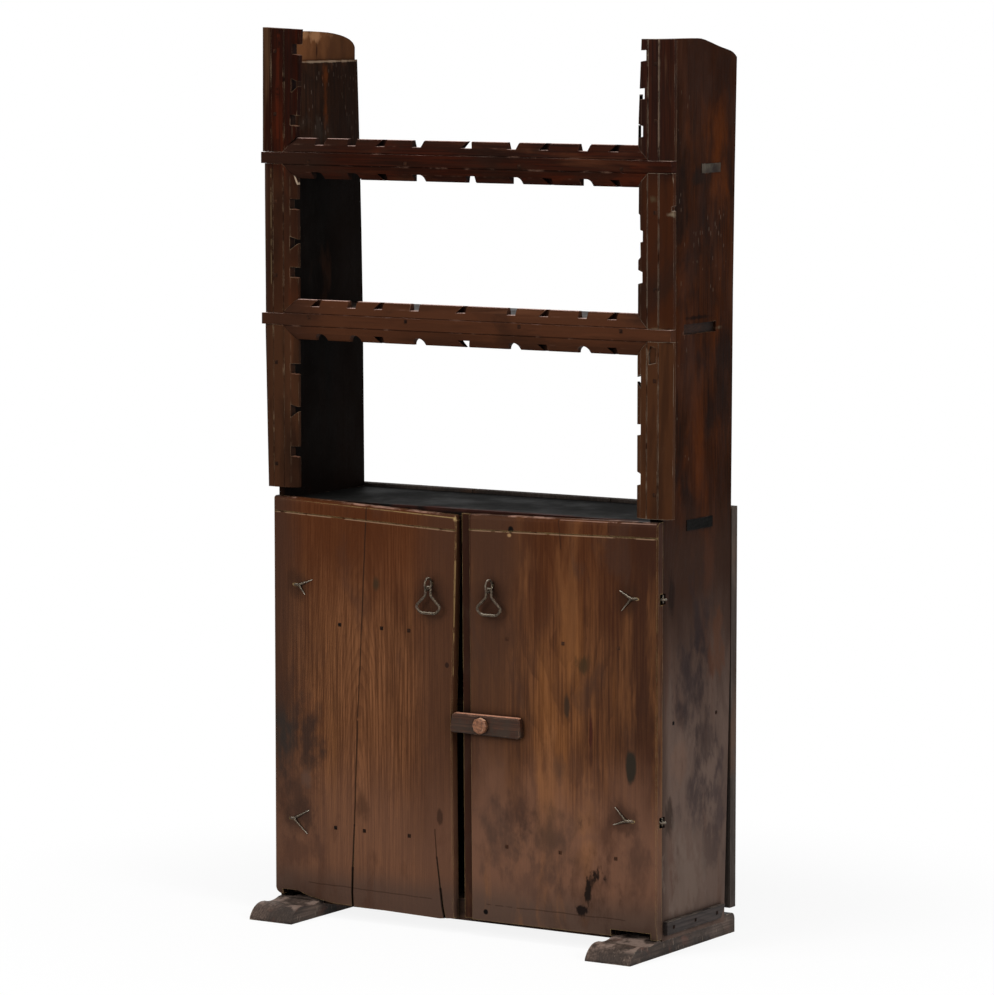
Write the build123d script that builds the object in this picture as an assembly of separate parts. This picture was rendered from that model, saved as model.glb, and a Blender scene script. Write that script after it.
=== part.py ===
from build123d import *
import os
from math import atan2, cos, degrees, radians, sin, sqrt

# A tall rustic cupboard: two boarded doors below, an open spoon and plate rack above.
# Millimetres, +Z up, the front looks along -Y. The origin is on the floor, under the
# middle of the whole. Left and right are as seen by someone who faces the doors.

# ------------------------------------------------------------------ carcass sizes
CARCASS_WIDTH = 800.0        # over the two side boards, at the doors
CARCASS_DEPTH = 238.0        # front edge to back edge of a side board
RACK_TOP = 1592.0            # top of the taller side board
RIGHT_SIDE_SHORTFALL = 7.0   # the right side board stops lower than the left
SIDE_THICKNESS = 26.0
LEFT_BOW = 15.0              # how far each side has sprung outward at its top
RIGHT_BOW = 8.0
SIDE_BOTTOM = 26.0           # the side boards stand this high in their feet

FOOT_TOE = 104.0             # foot in front of the carcass
FOOT_HEEL = 24.0             # foot behind the carcass
FOOT_WIDTH = 91.0
FOOT_INSET = 2.0             # foot set back from the outer face of the side
FOOT_FRONT_HEIGHT = 27.0
FOOT_BACK_HEIGHT = 36.0
FOOT_NOSE = 45.0             # length of the rounded toe
FOOT_TOE_EDGE = 4.0          # upright edge left at the tip of the toe
# hollow trodden in front of the doors: before the carcass front, and height
FOOT_HOLLOW = ((59.0, 27.6), (31.0, 24.3), (11.0, 28.7))
FOOT_HEEL_RADIUS = 12.0

# ------------------------------------------------------------------ shelves
SHELF_THICKNESS = 22.0
PLATE_SHELF_THICKNESS = 24.0
SHELF_DEPTH = 230.0
UPPER_SHELF_BOTTOM = 1350.0
LOWER_SHELF_BOTTOM = 1073.0
COUNTER_TOP = 757.0
COUNTER_THICKNESS = 25.0
BOTTOM_BOARD_TOP = 60.0
BOTTOM_BOARD_THICKNESS = 23.0
INNER_SHELF_TOP = 414.0
INNER_SHELF_THICKNESS = 20.0
INNER_SHELF_SETBACK = 26.0   # behind the carcass front
DADO = 6.0                   # depth that a shelf end is let into a side
TENON_SHOULDER = 3.0         # wood left above and below a through tenon
TENON_PROUD = 1.0            # tenon end stands out of the side
TENON_SUNK = 5.0             # the lower shelf's right tenon has shrunk back into its mortise
UPPER_TENON = (120.0, 66.0)  # start behind the carcass front, and length
LOWER_TENON = (67.0, 111.0)
COUNTER_TENON = (80.0, 91.0)
STUB_TENON = (12.0, 45.0, 17.0)   # side board to foot: thickness, length, height
STUB_STARTS = (34.0, 152.0)       # behind the carcass front

TOP_LEVEL = 92.0             # level part of a side board's top, from the front
# rounded fall behind it: ahead of the back edge, and drop
LEFT_TOP_FALL = ((75.0, 4.0), (43.0, 9.0), (16.0, 17.0), (3.0, 26.0), (0.0, 31.0))
RIGHT_TOP_FALL = ((110.0, 3.0), (81.0, 10.0), (42.0, 18.5), (12.0, 26.0), (0.0, 34.0))

TOP_REBATE_DEPTH = 5.0       # empty housing of the lost top shelf
TOP_REBATE_FLOOR = 53.0      # below the top of the side board
TOP_REBATE_SETBACK = 18.0

BACK_THICKNESS = 20.0
BACK_BOTTOM = 47.0
BACK_TOP = 763.0
BACK_OVERHANG = 3.0          # past the outer faces of the sides
BACK_SHARES = (0.33, 0.36, 0.31)   # widths of the three boards
BACK_GAP = 1.6
SIDE_WANE = 17.0             # bark edge lost from the back of the side at the foot
SIDE_WANE_TOP = 520.0

STRETCHER_HEIGHT = 15.0
STRETCHER_DEPTH = 34.0
STRETCHER_HOUSING = 8.0
SIDE_CLEAT_THICKNESS = 8.5
SIDE_CLEAT_BOTTOM = 37.0
SIDE_CLEAT_HEIGHT = 23.0
SIDE_CLEAT_SPAN = (5.5, 209.0)     # behind the carcass front
SIDE_CLEAT_SLANT = 14.0

# ------------------------------------------------------------------ rack mouldings
STRIP_WIDTH = 72.0
STRIP_THICKNESS = 18.0
STRIP_OVERHANG = 24.0        # past the outer face of the side
STRIP_FLAT = 20.0            # flat band along the middle
QUIRK_WIDTH = 2.4            # scribed groove on each side of the band
QUIRK_DEPTH = 1.5
FASCIA_EDGE = 24.0           # from the centre line to where the bevel starts
FASCIA_DROP = 2.0
BEVEL_DROP = 8.0             # front of the band to the foot of the bevel
WORN_ARRIS = 2.5             # second, steeper flat along the outer edge
STRIP_EDGE_THICKNESS = 7.0
MITRE_GAP = 0.8
UPPER_RAIL_CENTRE = 1368.0
LOWER_RAIL_CENTRE = 1080.0
LEFT_STILE_ENDS = (777.0, 1600.0)
RIGHT_STILE_ENDS = (764.0, 1585.0)

NOTCH_DEPTH = 12.0
NOTCH_SKIN = 3.0             # wood left behind a blind notch
# each way the notches were cut: mouth and floor width, lean, and radius of the floor's
# left and right corner
NOTCH_SHAPES = {
    "open": (24.0, 18.0, 0.0, 0.0, 0.0),
    "square": (19.0, 18.0, 1.5, 0.0, 0.0),
    "dovetail": (7.5, 24.0, -3.0, 0.0, 0.0),
    "blind": (8.0, 19.0, -5.5, 0.0, 0.0),
    "hooked": (24.0, 23.0, -0.5, 0.0, 9.0),
    "round": (25.0, 24.5, 0.0, 11.0, 11.0),
}
OPEN, SQUARE, TAIL, BLIND, HOOKED, ROUND = NOTCH_SHAPES
UPPER_RAIL_TOP_NOTCHES = (
    (-300, OPEN), (-233, SQUARE), (-165, BLIND), (-94, OPEN), (12, TAIL),
    (102, OPEN), (173, BLIND), (247, OPEN), (314, BLIND))
UPPER_RAIL_LOW_NOTCHES = (
    (-305, HOOKED), (-228, HOOKED), (-162, BLIND), (-91, HOOKED), (16, SQUARE),
    (110, HOOKED), (180, BLIND), (252, HOOKED), (316, BLIND))
LOWER_RAIL_TOP_NOTCHES = (
    (-305, BLIND), (-234, SQUARE), (-171, BLIND), (-101, SQUARE), (3, BLIND),
    (100, SQUARE), (173, BLIND), (245, SQUARE), (311, BLIND))
LOWER_RAIL_LOW_NOTCHES = (
    (-300, ROUND), (-227, ROUND), (-170, BLIND), (-92, ROUND), (7, TAIL),
    (105, ROUND), (170, BLIND), (247, ROUND), (311, BLIND))
STILE_NOTCHES = {
    "left_upper": ((1560, SQUARE), (1500, TAIL), (1434, SQUARE)),
    "left_middle": ((1285, SQUARE), (1219, TAIL), (1163, SQUARE)),
    "left_lower": ((990, SQUARE), (918, TAIL), (841, SQUARE)),
    "right_upper": ((1556, SQUARE), (1491, SQUARE), (1428, OPEN)),
    "right_middle": ((1249, OPEN), (1179, OPEN)),
    "right_lower": ((1003, TAIL), (916, SQUARE), (832, OPEN)),
}
# how far the edges have been planed or worn away: outer low, outer high, inner low, inner high
STILE_TRIM = {
    "left_upper": (0.0, 2.0, 0.0, -8.0),
    "left_middle": (4.0, 2.0, 0.0, 0.0),
    "left_lower": (12.0, 2.0, 0.0, 0.0),
    "right_upper": (0.0, -3.0, 0.0, 11.0),
    "right_middle": (0.0, 1.0, 2.0, 4.0),
    "right_lower": (1.0, 0.0, 0.0, 0.0),
}
HEAD_SLOPE = 3.5             # fall of the left upper piece's top to its inner corner
# bits split away from the right-hand pieces: in from the inner edge, and height
BROKEN_EDGE = ((-1.0, 1205.0), (10.0, 1213.0), (8.0, 1285.0), (-1.0, 1291.0))
CHIPPED_EDGE = ((73.0, 1291.0), (68.5, 1294.0), (69.0, 1300.0), (73.0, 1304.0))
FLAKED_BAND = ((29.0, 1030.0), (43.0, 1033.0), (44.0, 1058.0), (32.0, 1062.0), (28.0, 1048.0))
FLAKE_DEPTH = 3.0
THROUGH_STRIP = STRIP_THICKNESS + 1
STRIP_LOSSES = {
    "right_middle": ((BROKEN_EDGE, THROUGH_STRIP), (CHIPPED_EDGE, THROUGH_STRIP)),
    "right_lower": ((FLAKED_BAND, FLAKE_DEPTH),),
}

# ------------------------------------------------------------------ doors
DOOR_THICKNESS = 18.0
DOOR_ARRIS = 2.0             # taken off all round the front
DOOR_TOP_ROUND = 9.0
GROOVE_BELOW_TOP = 27.0
GROOVE_WIDTH = 2.4
GROOVE_DEPTH = 1.6
FOOT_BEVEL_DEPTH = 3.5       # shallow slope along the bottom of each door
FOOT_BEVEL_HEIGHT = 28.0
LEFT_SLOPE_TOP = (58.0, 45.0)      # where that slope starts: at the hinge, at the free edge
RIGHT_SLOPE_TOP = (56.0, 44.6)
# heights and free edges of the doors, all hand fitted and worn
LEFT_DOOR_TOP = (761.0, 747.0)     # at the hinge, at the free edge
RIGHT_DOOR_TOP = (758.0, 751.0)
LEFT_DOOR_FREE = (-17.0, -20.4, -10.0)   # free edge low, at the button, high
RIGHT_DOOR_FREE = (22.0, 17.0, 14.6)
# lower edge of the left door, notched to swing over its foot: in from the hinge, and height
LEFT_DOOR_UNDER = ((15.0, 35.0), (15.0, 44.0), (48.0, 44.0), (72.0, 36.0), (123.0, 28.0),
                   (353.0, 23.5))
LEFT_DOOR_FREE_CORNER = 27.0
LEFT_CORNER_ROUND = 13.0
RIGHT_DOOR_BOTTOM = 29.8
RIGHT_NOTCH_TOP = 41.0       # the right door's own notch over its foot
RIGHT_NOTCH_TOE = 13.0       # wood left outside that notch at the hinge side
# splits that have opened from the foot of the left door: X and Z of the tip, then of each
# side where they run out below
LEFT_DOOR_SPLITS = (
    ((-227.5, 172.0), (-235.8, 20.0), (-232.2, 20.0)),
    ((-52.0, 130.0), (-37.0, 20.0), (-33.4, 20.0)),
)
LAP_BEDDING = 1.0            # the tongue runs this far into the door's board
LAP_WIDTH = (20.0, 19.0, 18.6)     # lapping tongue of the right door: low, middle, high
LAP_THICKNESS = 9.0
BUTTON_HEIGHT = 380.0        # height of the turn button, where the left door is worn

DOOR_BATTEN_THICKNESS = 16.0
DOOR_BATTEN_HEIGHT = 55.0
DOOR_BATTEN_CENTRES = (167.0, 536.0)
DOOR_BATTEN_SPAN = (70.0, 330.0)   # from the centre line of the carcass
DOOR_BATTEN_CHAMFER = 6.0

# ------------------------------------------------------------------ turn button
BUTTON_LENGTH = 148.0
BUTTON_WIDTH = 37.0
BUTTON_THICKNESS = 12.0
BUTTON_CORNER = 7.0
BUTTON_SOFTENING = 2.0
BUTTON_LEFT_RISE = 2.0       # its lower edge rises this much to the left
BUTTON_LEAN = (5.0, 3.0)     # how far the left and the right end lean inward at the top
BUTTON_CLEAR_OF_DOOR = 3.0   # left end short of the left door's worn edge
BUTTON_PIVOT_FROM_END = 67.0
PEG_RADIUS = 7.0
PEG_HEAD_RADIUS = 15.0
PEG_HEAD_HEIGHT = 10.0
PEG_HEAD_SIDES = 8
PEG_HEAD_CHAMFER = 3.0
PEG_TAIL = 4.0               # peg end inside the cupboard

# ------------------------------------------------------------------ iron
IRON_FLATS = 6               # hammered flats round every bar
EYE_RADIUS = 6.0             # centre line of a hinge pin's eye
WIRE_RADIUS = 2.0
SHANK_RADIUS = 2.4
PRONG_TIP_RADIUS = 0.9
EYE_POCKET_MARGIN = 1.5
SIDE_PIN_ANGLE = 120.0       # its run into the side board, from +X, right-hand side
SIDE_PRONGS = ((16.0, 13.0), (17.0, -12.0))    # run back and rise, on the inner face
RIGHT_HINGE_HEIGHTS = (235.0, 624.0)
LEFT_HINGE_HEIGHTS = (176.0, 602.5)
RIGHT_PRONG_ROOTS = (53.0, 45.0)   # from the hinge line to where the pin comes through
LEFT_PRONG_ROOTS = (37.0, 49.0)
# clenched ends of the door pins: run away from the hinge, and rise
RIGHT_PRONGS = (((23.0, 23.0), (27.0, -9.0)), ((24.0, 13.0), (20.0, -22.0)))
LEFT_PRONGS = (((29.0, -26.0), (33.0, 18.0)), ((12.0, -17.5), (28.0, 11.0)))

RING_RADIUS = 10.5           # centre line of the drop handle's eye
HANDLE_PLACES = {"left": (-61.3, 623.3), "right": (65.4, 628.4)}
STAPLE_PRONGS = ((13.0, 9.0), (-14.0, 7.0))
BAIL_RADIUS = 2.6
BAIL_NECK = 5.4              # half the width of the neck, centre line
BAIL_NECK_LENGTH = 15.0
BAIL_SHOULDER = (26.5, 35.5)       # half width, and drop below the pivot
BAIL_FOOT = (15.5, 46.5)
BAIL_BENDS = (5.2, 7.0, 6.0, 12.0)  # crown, neck, shoulder and foot bends
BAIL_SLACK = 0.7             # between the crown and the eye it hangs in

NAIL_SHANK = 2.4
NAIL_HEAD = 7.0
NAIL_HEAD_TOP = 3.0
NAIL_HEAD_HEIGHT = 1.5
NAIL_LENGTH = 34.0
SHORT_NAIL_LENGTH = 26.0
NAIL_EDGE_MARGIN = 42.0      # from the end of a piece to its first nail
BACK_NAIL_MARGIN = 14.0
RAIL_NAIL_SHARES = (-0.86, -0.31, 0.32, 0.87)      # of the way to the inner face of a side
SHELF_NAIL_STARTS = (38.0, 188.0)  # behind the carcass front
SHELF_NAIL_LENGTH = 42.0
CLEAT_NAIL_STARTS = (28.0, 104.0, 180.0)
DOOR_NAILS = {                     # along X, on the lower and the upper batten
    "left": ((-268.0, -206.0, -110.0), (-258.0, -168.0, -110.0)),
    "right": ((318.0, 205.0, 95.0), (322.0, 210.0, 95.0)),
}

# ------------------------------------------------------------------ clearances
RUNNING_GAP = 0.3            # moving wood over fixed wood
PEG_PLAY = 0.4
DRIVEN_FIT = 0.1             # round a driven pin or nail
FACE_LIFT = 0.15             # clenched iron off the wood it lies on

# ------------------------------------------------------------------ derived places
FOOT_LENGTH = CARCASS_DEPTH + FOOT_TOE + FOOT_HEEL
Y_TOE = -FOOT_LENGTH / 2
Y_HEEL = FOOT_LENGTH / 2
Y_FRONT = Y_TOE + FOOT_TOE
Y_BACK = Y_FRONT + CARCASS_DEPTH
Y_FACE = Y_FRONT - DOOR_THICKNESS
X_SIDE = CARCASS_WIDTH / 2
X_INNER = X_SIDE - SIDE_THICKNESS
X_STRIP_OUTER = X_SIDE + STRIP_OVERHANG
X_STRIP = X_STRIP_OUTER - STRIP_WIDTH / 2
HALF_STRIP = STRIP_WIDTH / 2
HALF_FLAT = STRIP_FLAT / 2
EYE_OUTER = EYE_RADIUS + WIRE_RADIUS
POCKET_RADIUS = EYE_OUTER + EYE_POCKET_MARGIN
RING_OUTER = RING_RADIUS + WIRE_RADIUS
Y_RING = Y_FACE - RING_OUTER - RUNNING_GAP
BAIL_PIVOT_DROP = RING_RADIUS - WIRE_RADIUS - BAIL_RADIUS - BAIL_SLACK
BUTTON_LEFT_END = LEFT_DOOR_FREE[1] + BUTTON_CLEAR_OF_DOOR
X_PIVOT = BUTTON_LEFT_END + BUTTON_PIVOT_FROM_END
Y_BUTTON_BACK = Y_FACE - RUNNING_GAP
Y_BUTTON_FRONT = Y_BUTTON_BACK - BUTTON_THICKNESS


# ------------------------------------------------------------------ shared shapes
def outline(*points):
    """A closed face with straight edges."""
    return make_face(Polyline(*points, close=True))


def block(x0, x1, y0, y1, z0, z1):
    """A box between two corners."""
    centre = ((x0 + x1) / 2, (y0 + y1) / 2, (z0 + z1) / 2)
    return Pos(*centre) * Box(x1 - x0, y1 - y0, z1 - z0)


def front_board(face, y0, y1):
    """A face drawn in X and Z, as thick as from y0 back to y1."""
    return Pos(0, y1, 0) * extrude(Plane.XZ * face, amount=y1 - y0)


def side_slab(face, x0, x1):
    """A face drawn in Y and Z, as thick as from x0 to x1."""
    return Pos(x0, 0, 0) * extrude(Plane.YZ * face, amount=x1 - x0)


def bore(start, end, radius):
    """A round hole or peg between two points."""
    run = Vector(*end) - Vector(*start)
    low = (Align.CENTER, Align.CENTER, Align.MIN)
    return Plane(origin=start, z_dir=run) * Cylinder(radius, run.length, align=low)


def forged_bar(start, end, radius, end_radius=None):
    """An iron bar hammered to flats between two points, drawn out thinner if asked."""
    run = Vector(*end) - Vector(*start)
    place = Plane(origin=start, z_dir=run)
    draw = 0 if end_radius is None else degrees(atan2(radius - end_radius, run.length))
    return place * extrude(RegularPolygon(radius, IRON_FLATS), amount=run.length, taper=draw)


def forged_eye(plane, radius):
    """A closed ring of the same bar, flat in a plane."""
    section = Plane.XZ * (Pos(radius, 0) * RegularPolygon(WIRE_RADIUS, IRON_FLATS))
    return plane * revolve(section, Axis.Z)


def mirrored(solid):
    """The same piece on the other side of the cupboard."""
    return mirror(solid, about=Plane.YZ)


# ------------------------------------------------------------------ nails
def nail(point, outward, length=NAIL_LENGTH):
    """A forged nail, driven in against outward, with its head on the surface."""
    shank = Pos(0, 0, -length / 2) * Box(NAIL_SHANK, NAIL_SHANK, length)
    slope = degrees(atan2((NAIL_HEAD - NAIL_HEAD_TOP) / 2, NAIL_HEAD_HEIGHT))
    head = extrude(Rectangle(NAIL_HEAD, NAIL_HEAD), amount=NAIL_HEAD_HEIGHT, taper=slope)
    return Plane(origin=point, z_dir=outward) * (shank + head)


def nail_hole(point, outward, length=NAIL_LENGTH):
    """The hole that a nail has made."""
    width = NAIL_SHANK + 2 * DRIVEN_FIT
    depth = length + DRIVEN_FIT
    return Plane(origin=point, z_dir=outward) * (
        Pos(0, 0, -depth / 2 + DRIVEN_FIT) * Box(width, width, depth + 2 * DRIVEN_FIT))


class Nailing:
    """A group of nails driven the same way, and the holes they leave."""

    def __init__(self, points, outward, length=NAIL_LENGTH):
        self.nails = [nail(point, outward, length) for point in points]
        self.holes = [nail_hole(point, outward, length) for point in points]


# ------------------------------------------------------------------ side boards
def bow_at(height, bow):
    """How far outward a sprung side stands at a height."""
    rise = max(0.0, height - COUNTER_TOP)
    reach = RACK_TOP - COUNTER_TOP
    radius = (reach ** 2 + bow ** 2) / (2 * bow)
    return radius - sqrt(radius ** 2 - rise ** 2)


def sprung_section(bow):
    """Front view of a right side board: straight to the counter, then bowed."""
    middle = (COUNTER_TOP + RACK_TOP) / 2
    edges = []
    for x in (X_SIDE, X_INNER):
        edges.append(Line((x, SIDE_BOTTOM), (x, COUNTER_TOP)))
        edges.append(ThreePointArc(
            (x, COUNTER_TOP), (x + bow_at(middle, bow), middle), (x + bow, RACK_TOP)))
    edges.append(Line((X_INNER, SIDE_BOTTOM), (X_SIDE, SIDE_BOTTOM)))
    edges.append(Line((X_INNER + bow, RACK_TOP), (X_SIDE + bow, RACK_TOP)))
    return make_face(edges)


def side_profile(top, fall):
    """Side view of a side board: worn top, and bark edge lost low on the back."""
    wane = Y_BACK - SIDE_WANE
    level = (Y_FRONT + TOP_LEVEL, top)
    worn = [(Y_BACK - ahead, top - drop) for ahead, drop in fall]
    return make_face([
        Polyline((Y_FRONT, SIDE_BOTTOM), (Y_FRONT, top), level),
        Spline(level, *worn),
        Polyline(worn[-1], (Y_BACK, SIDE_WANE_TOP), (wane, BOTTOM_BOARD_TOP),
                 (wane, SIDE_BOTTOM), (Y_FRONT, SIDE_BOTTOM)),
    ])


def stub_tenons():
    """Tenons under a right side board, which stand in its foot."""
    thickness, length, height = STUB_TENON
    centre = X_INNER + SIDE_THICKNESS / 2
    stubs = []
    for start in STUB_STARTS:
        y0 = Y_FRONT + start
        stubs.append(block(centre - thickness / 2, centre + thickness / 2,
                           y0, y0 + length, SIDE_BOTTOM - height, SIDE_BOTTOM))
    return stubs


def side_board(bow, top, fall):
    """A right side board before its joints are cut."""
    wide = 2 * X_SIDE
    blank = extrude(Plane.XZ * sprung_section(bow), amount=-CARCASS_DEPTH)
    blank = Pos(0, Y_FRONT, 0) * blank
    board = blank & side_slab(side_profile(top, fall), 0, wide)
    rebate_floor = top - TOP_REBATE_FLOOR
    inner = X_INNER + bow_at(rebate_floor, bow)
    rebate = block(inner - SIDE_THICKNESS, inner + TOP_REBATE_DEPTH,
                   Y_FRONT + TOP_REBATE_SETBACK, Y_BACK + 1, rebate_floor, top + 1)
    return board - rebate + stub_tenons()


# ------------------------------------------------------------------ shelves
def housed_shelf(bottom, thickness, depth, tenon, y0=Y_FRONT):
    """A shelf let into both sides, with a tenon through each."""
    centre = bottom + thickness / 2
    left = -(X_INNER + bow_at(centre, LEFT_BOW))
    right = X_INNER + bow_at(centre, RIGHT_BOW)
    board = block(left - DADO, right + DADO, y0, Y_FRONT + depth, bottom, bottom + thickness)
    start, length = tenon
    through = SIDE_THICKNESS + TENON_PROUD
    return board + block(left - through, right + through,
                         Y_FRONT + start, Y_FRONT + start + length,
                         bottom + TENON_SHOULDER, bottom + thickness - TENON_SHOULDER)


def sunk_end():
    """What the lower shelf's right tenon has lost."""
    top = LOWER_SHELF_BOTTOM + PLATE_SHELF_THICKNESS
    face = X_SIDE + bow_at((LOWER_SHELF_BOTTOM + top) / 2, RIGHT_BOW)
    return block(face - TENON_SUNK, face + SIDE_THICKNESS, Y_FRONT, Y_BACK,
                 LOWER_SHELF_BOTTOM, top)


# ------------------------------------------------------------------ rack mouldings
def moulding_face():
    """Section of a strip: width across, thickness forward, the same either way."""
    half = [
        (HALF_FLAT, STRIP_THICKNESS),
        (HALF_FLAT + QUIRK_WIDTH / 2, STRIP_THICKNESS - QUIRK_DEPTH),
        (HALF_FLAT + QUIRK_WIDTH, STRIP_THICKNESS - QUIRK_WIDTH / 4),
        (FASCIA_EDGE, STRIP_THICKNESS - FASCIA_DROP),
        (HALF_STRIP - WORN_ARRIS, STRIP_THICKNESS - BEVEL_DROP),
        (HALF_STRIP, STRIP_EDGE_THICKNESS),
        (HALF_STRIP, 0),
    ]
    return outline(*half, *[(-u, v) for u, v in reversed(half)])


def notch_cut(kind, x, z, along, into):
    """One spoon notch at a point of a strip's edge, cut from the front."""
    mouth, floor, lean, *radii = NOTCH_SHAPES[kind]
    face = outline(
        (-mouth / 2, -1.0), (mouth / 2, -1.0), (mouth / 2, 0.0), (floor / 2 + lean, NOTCH_DEPTH),
        (-floor / 2 + lean, NOTCH_DEPTH), (-mouth / 2, 0.0))
    for side, radius in enumerate(radii):
        if radius:
            corners = face.vertices().group_by(Axis.Y)[-1].sort_by(Axis.X)
            face = fillet(corners[-side], radius)
    front = Y_FRONT - THROUGH_STRIP
    back = Y_FRONT - NOTCH_SKIN if kind == BLIND else Y_FRONT + 1
    place = Plane(origin=(x, (front + back) / 2, z), x_dir=along,
                  z_dir=Vector(*along).cross(Vector(*into)))
    return extrude(place * face, amount=(back - front) / 2, both=True)


def rail(centre, top_notches, low_notches):
    """A rack rail: mitred into the stiles, its flat band carried on as a tongue."""
    bar = extrude(
        Plane(origin=(-X_STRIP_OUTER, Y_FRONT, centre), x_dir=(0, 0, 1), z_dir=(1, 0, 0))
        * moulding_face(), amount=2 * X_STRIP_OUTER)
    inner = X_STRIP - HALF_STRIP
    knee = X_STRIP - HALF_FLAT
    quarter = ((inner, HALF_STRIP), (knee, HALF_FLAT), (X_STRIP_OUTER, HALF_FLAT))
    right = [(x, centre + z) for x, z in quarter]
    right += [(x, centre - z) for x, z in reversed(quarter)]
    left = [(-x, z) for x, z in reversed(right)]
    shape = front_board(outline(*right, *left), Y_FRONT - STRIP_THICKNESS, Y_FRONT)
    rows = ((top_notches, HALF_STRIP, -1), (low_notches, -HALF_STRIP, 1))
    cuts = [notch_cut(kind, x, centre + edge, (1, 0, 0), (0, 0, way))
            for notches, edge, way in rows for x, kind in notches]
    return (bar & shape) - cuts


def stile(name, low, high):
    """One upright piece of the rack front. A rail's centre line stands for a mitred end."""
    side = -1 if name.startswith("left") else 1
    outer_low, outer_high, inner_low, inner_high = STILE_TRIM[name]
    outer, inner = X_STRIP_OUTER, X_STRIP - HALF_STRIP
    knee = X_STRIP - HALF_FLAT
    rails = (UPPER_RAIL_CENTRE, LOWER_RAIL_CENTRE)
    step, point = HALF_FLAT + MITRE_GAP, HALF_STRIP + MITRE_GAP
    if low in rails:
        foot = [(inner + inner_low, low + point - inner_low), (knee, low + step),
                (outer - outer_low, low + step)]
    else:
        foot = [(inner + inner_low, low), (outer - outer_low, low)]
    if high in rails:
        head = [(outer - outer_high, high - step), (knee, high - step),
                (inner + inner_high, high - point + inner_high)]
    else:
        slope = HEAD_SLOPE if name == "left_upper" else 0.0
        head = [(outer - outer_high, high), (inner + inner_high, high - slope)]
    points = [(side * x, z) for x, z in foot + head]
    length = high - low
    spread = 1 + 2 * max(0.0, -inner_high) / STRIP_WIDTH
    bar = extrude(
        Plane(origin=(side * X_STRIP, Y_FRONT, high), x_dir=(1, 0, 0), z_dir=(0, 0, -1))
        * scale(moulding_face(), by=(spread, 1, 1)), amount=length)
    shape = front_board(outline(*points), Y_FRONT - STRIP_THICKNESS, Y_FRONT)
    cuts = []
    for z, kind in STILE_NOTCHES[name]:
        lean = (z - low) / length
        edge = inner + inner_low + (inner_high - inner_low) * lean
        cuts.append(notch_cut(kind, side * edge, z, (0, 0, 1), (side, 0, 0)))
    for points, depth in STRIP_LOSSES.get(name, ()):
        loss = outline(*[(side * (inner + reach), z) for reach, z in points])
        front = Y_FRONT - STRIP_THICKNESS
        cuts.append(front_board(loss, front - 1, front + depth))
    return (bar & shape) - cuts


# ------------------------------------------------------------------ feet and base
def foot():
    """A right foot: a sledge with a rounded toe, before the joints are cut."""
    nose_top = (Y_TOE + FOOT_NOSE, FOOT_FRONT_HEIGHT)
    nose_low = (Y_TOE, FOOT_TOE_EDGE)
    nose_mid = (Y_TOE + FOOT_NOSE * 0.3, FOOT_FRONT_HEIGHT * 0.74)
    heel = FOOT_HEEL_RADIUS
    hollow = [(Y_FRONT - ahead, height) for ahead, height in FOOT_HOLLOW]
    face = make_face([
        Line((Y_TOE, 0), (Y_HEEL, 0)),
        Line((Y_HEEL, 0), (Y_HEEL, FOOT_BACK_HEIGHT - heel)),
        RadiusArc((Y_HEEL, FOOT_BACK_HEIGHT - heel), (Y_HEEL - heel, FOOT_BACK_HEIGHT), -heel),
        Line((Y_HEEL - heel, FOOT_BACK_HEIGHT), hollow[-1]),
        ThreePointArc(*hollow),
        Line(hollow[0], nose_top),
        ThreePointArc(nose_top, nose_mid, nose_low),
        Line(nose_low, (Y_TOE, 0)),
    ])
    outer = X_SIDE - FOOT_INSET
    return side_slab(face, outer - FOOT_WIDTH, outer)


def front_stretcher():
    """The bar under the front of the bottom board, housed in both feet."""
    end = X_SIDE - FOOT_INSET - FOOT_WIDTH + STRETCHER_HOUSING
    top = BOTTOM_BOARD_TOP - BOTTOM_BOARD_THICKNESS
    return block(-end, end, Y_FRONT + RUNNING_GAP, Y_FRONT + STRETCHER_DEPTH,
                 top - STRETCHER_HEIGHT, top)


def side_cleat():
    """The strip nailed low on the outer face of the right side, slanted at the back."""
    y0, y1 = (Y_FRONT + end for end in SIDE_CLEAT_SPAN)
    z0, z1 = SIDE_CLEAT_BOTTOM, SIDE_CLEAT_BOTTOM + SIDE_CLEAT_HEIGHT
    face = outline((y0, z0), (y1 - SIDE_CLEAT_SLANT, z0), (y1, z1), (y0, z1))
    return side_slab(face, X_SIDE, X_SIDE + SIDE_CLEAT_THICKNESS)


def back_boards():
    """Three upright boards over the back edges of the sides."""
    full = 2 * (X_SIDE + BACK_OVERHANG)
    boards = []
    x = -full / 2
    for share in BACK_SHARES:
        width = full * share
        boards.append(block(x, x + width - BACK_GAP, Y_BACK, Y_BACK + BACK_THICKNESS,
                            BACK_BOTTOM, BACK_TOP))
        x += width
    return boards


# ------------------------------------------------------------------ doors
def run_prism(section, start, end):
    """A face (depth behind the door face, height) run straight between two X, Z points."""
    run = Vector(end[0] - start[0], 0, end[1] - start[1])
    place = Plane(origin=(start[0], Y_FACE, start[1]), x_dir=(0, 1, 0), z_dir=run)
    return extrude(place * section, amount=run.length)


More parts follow.
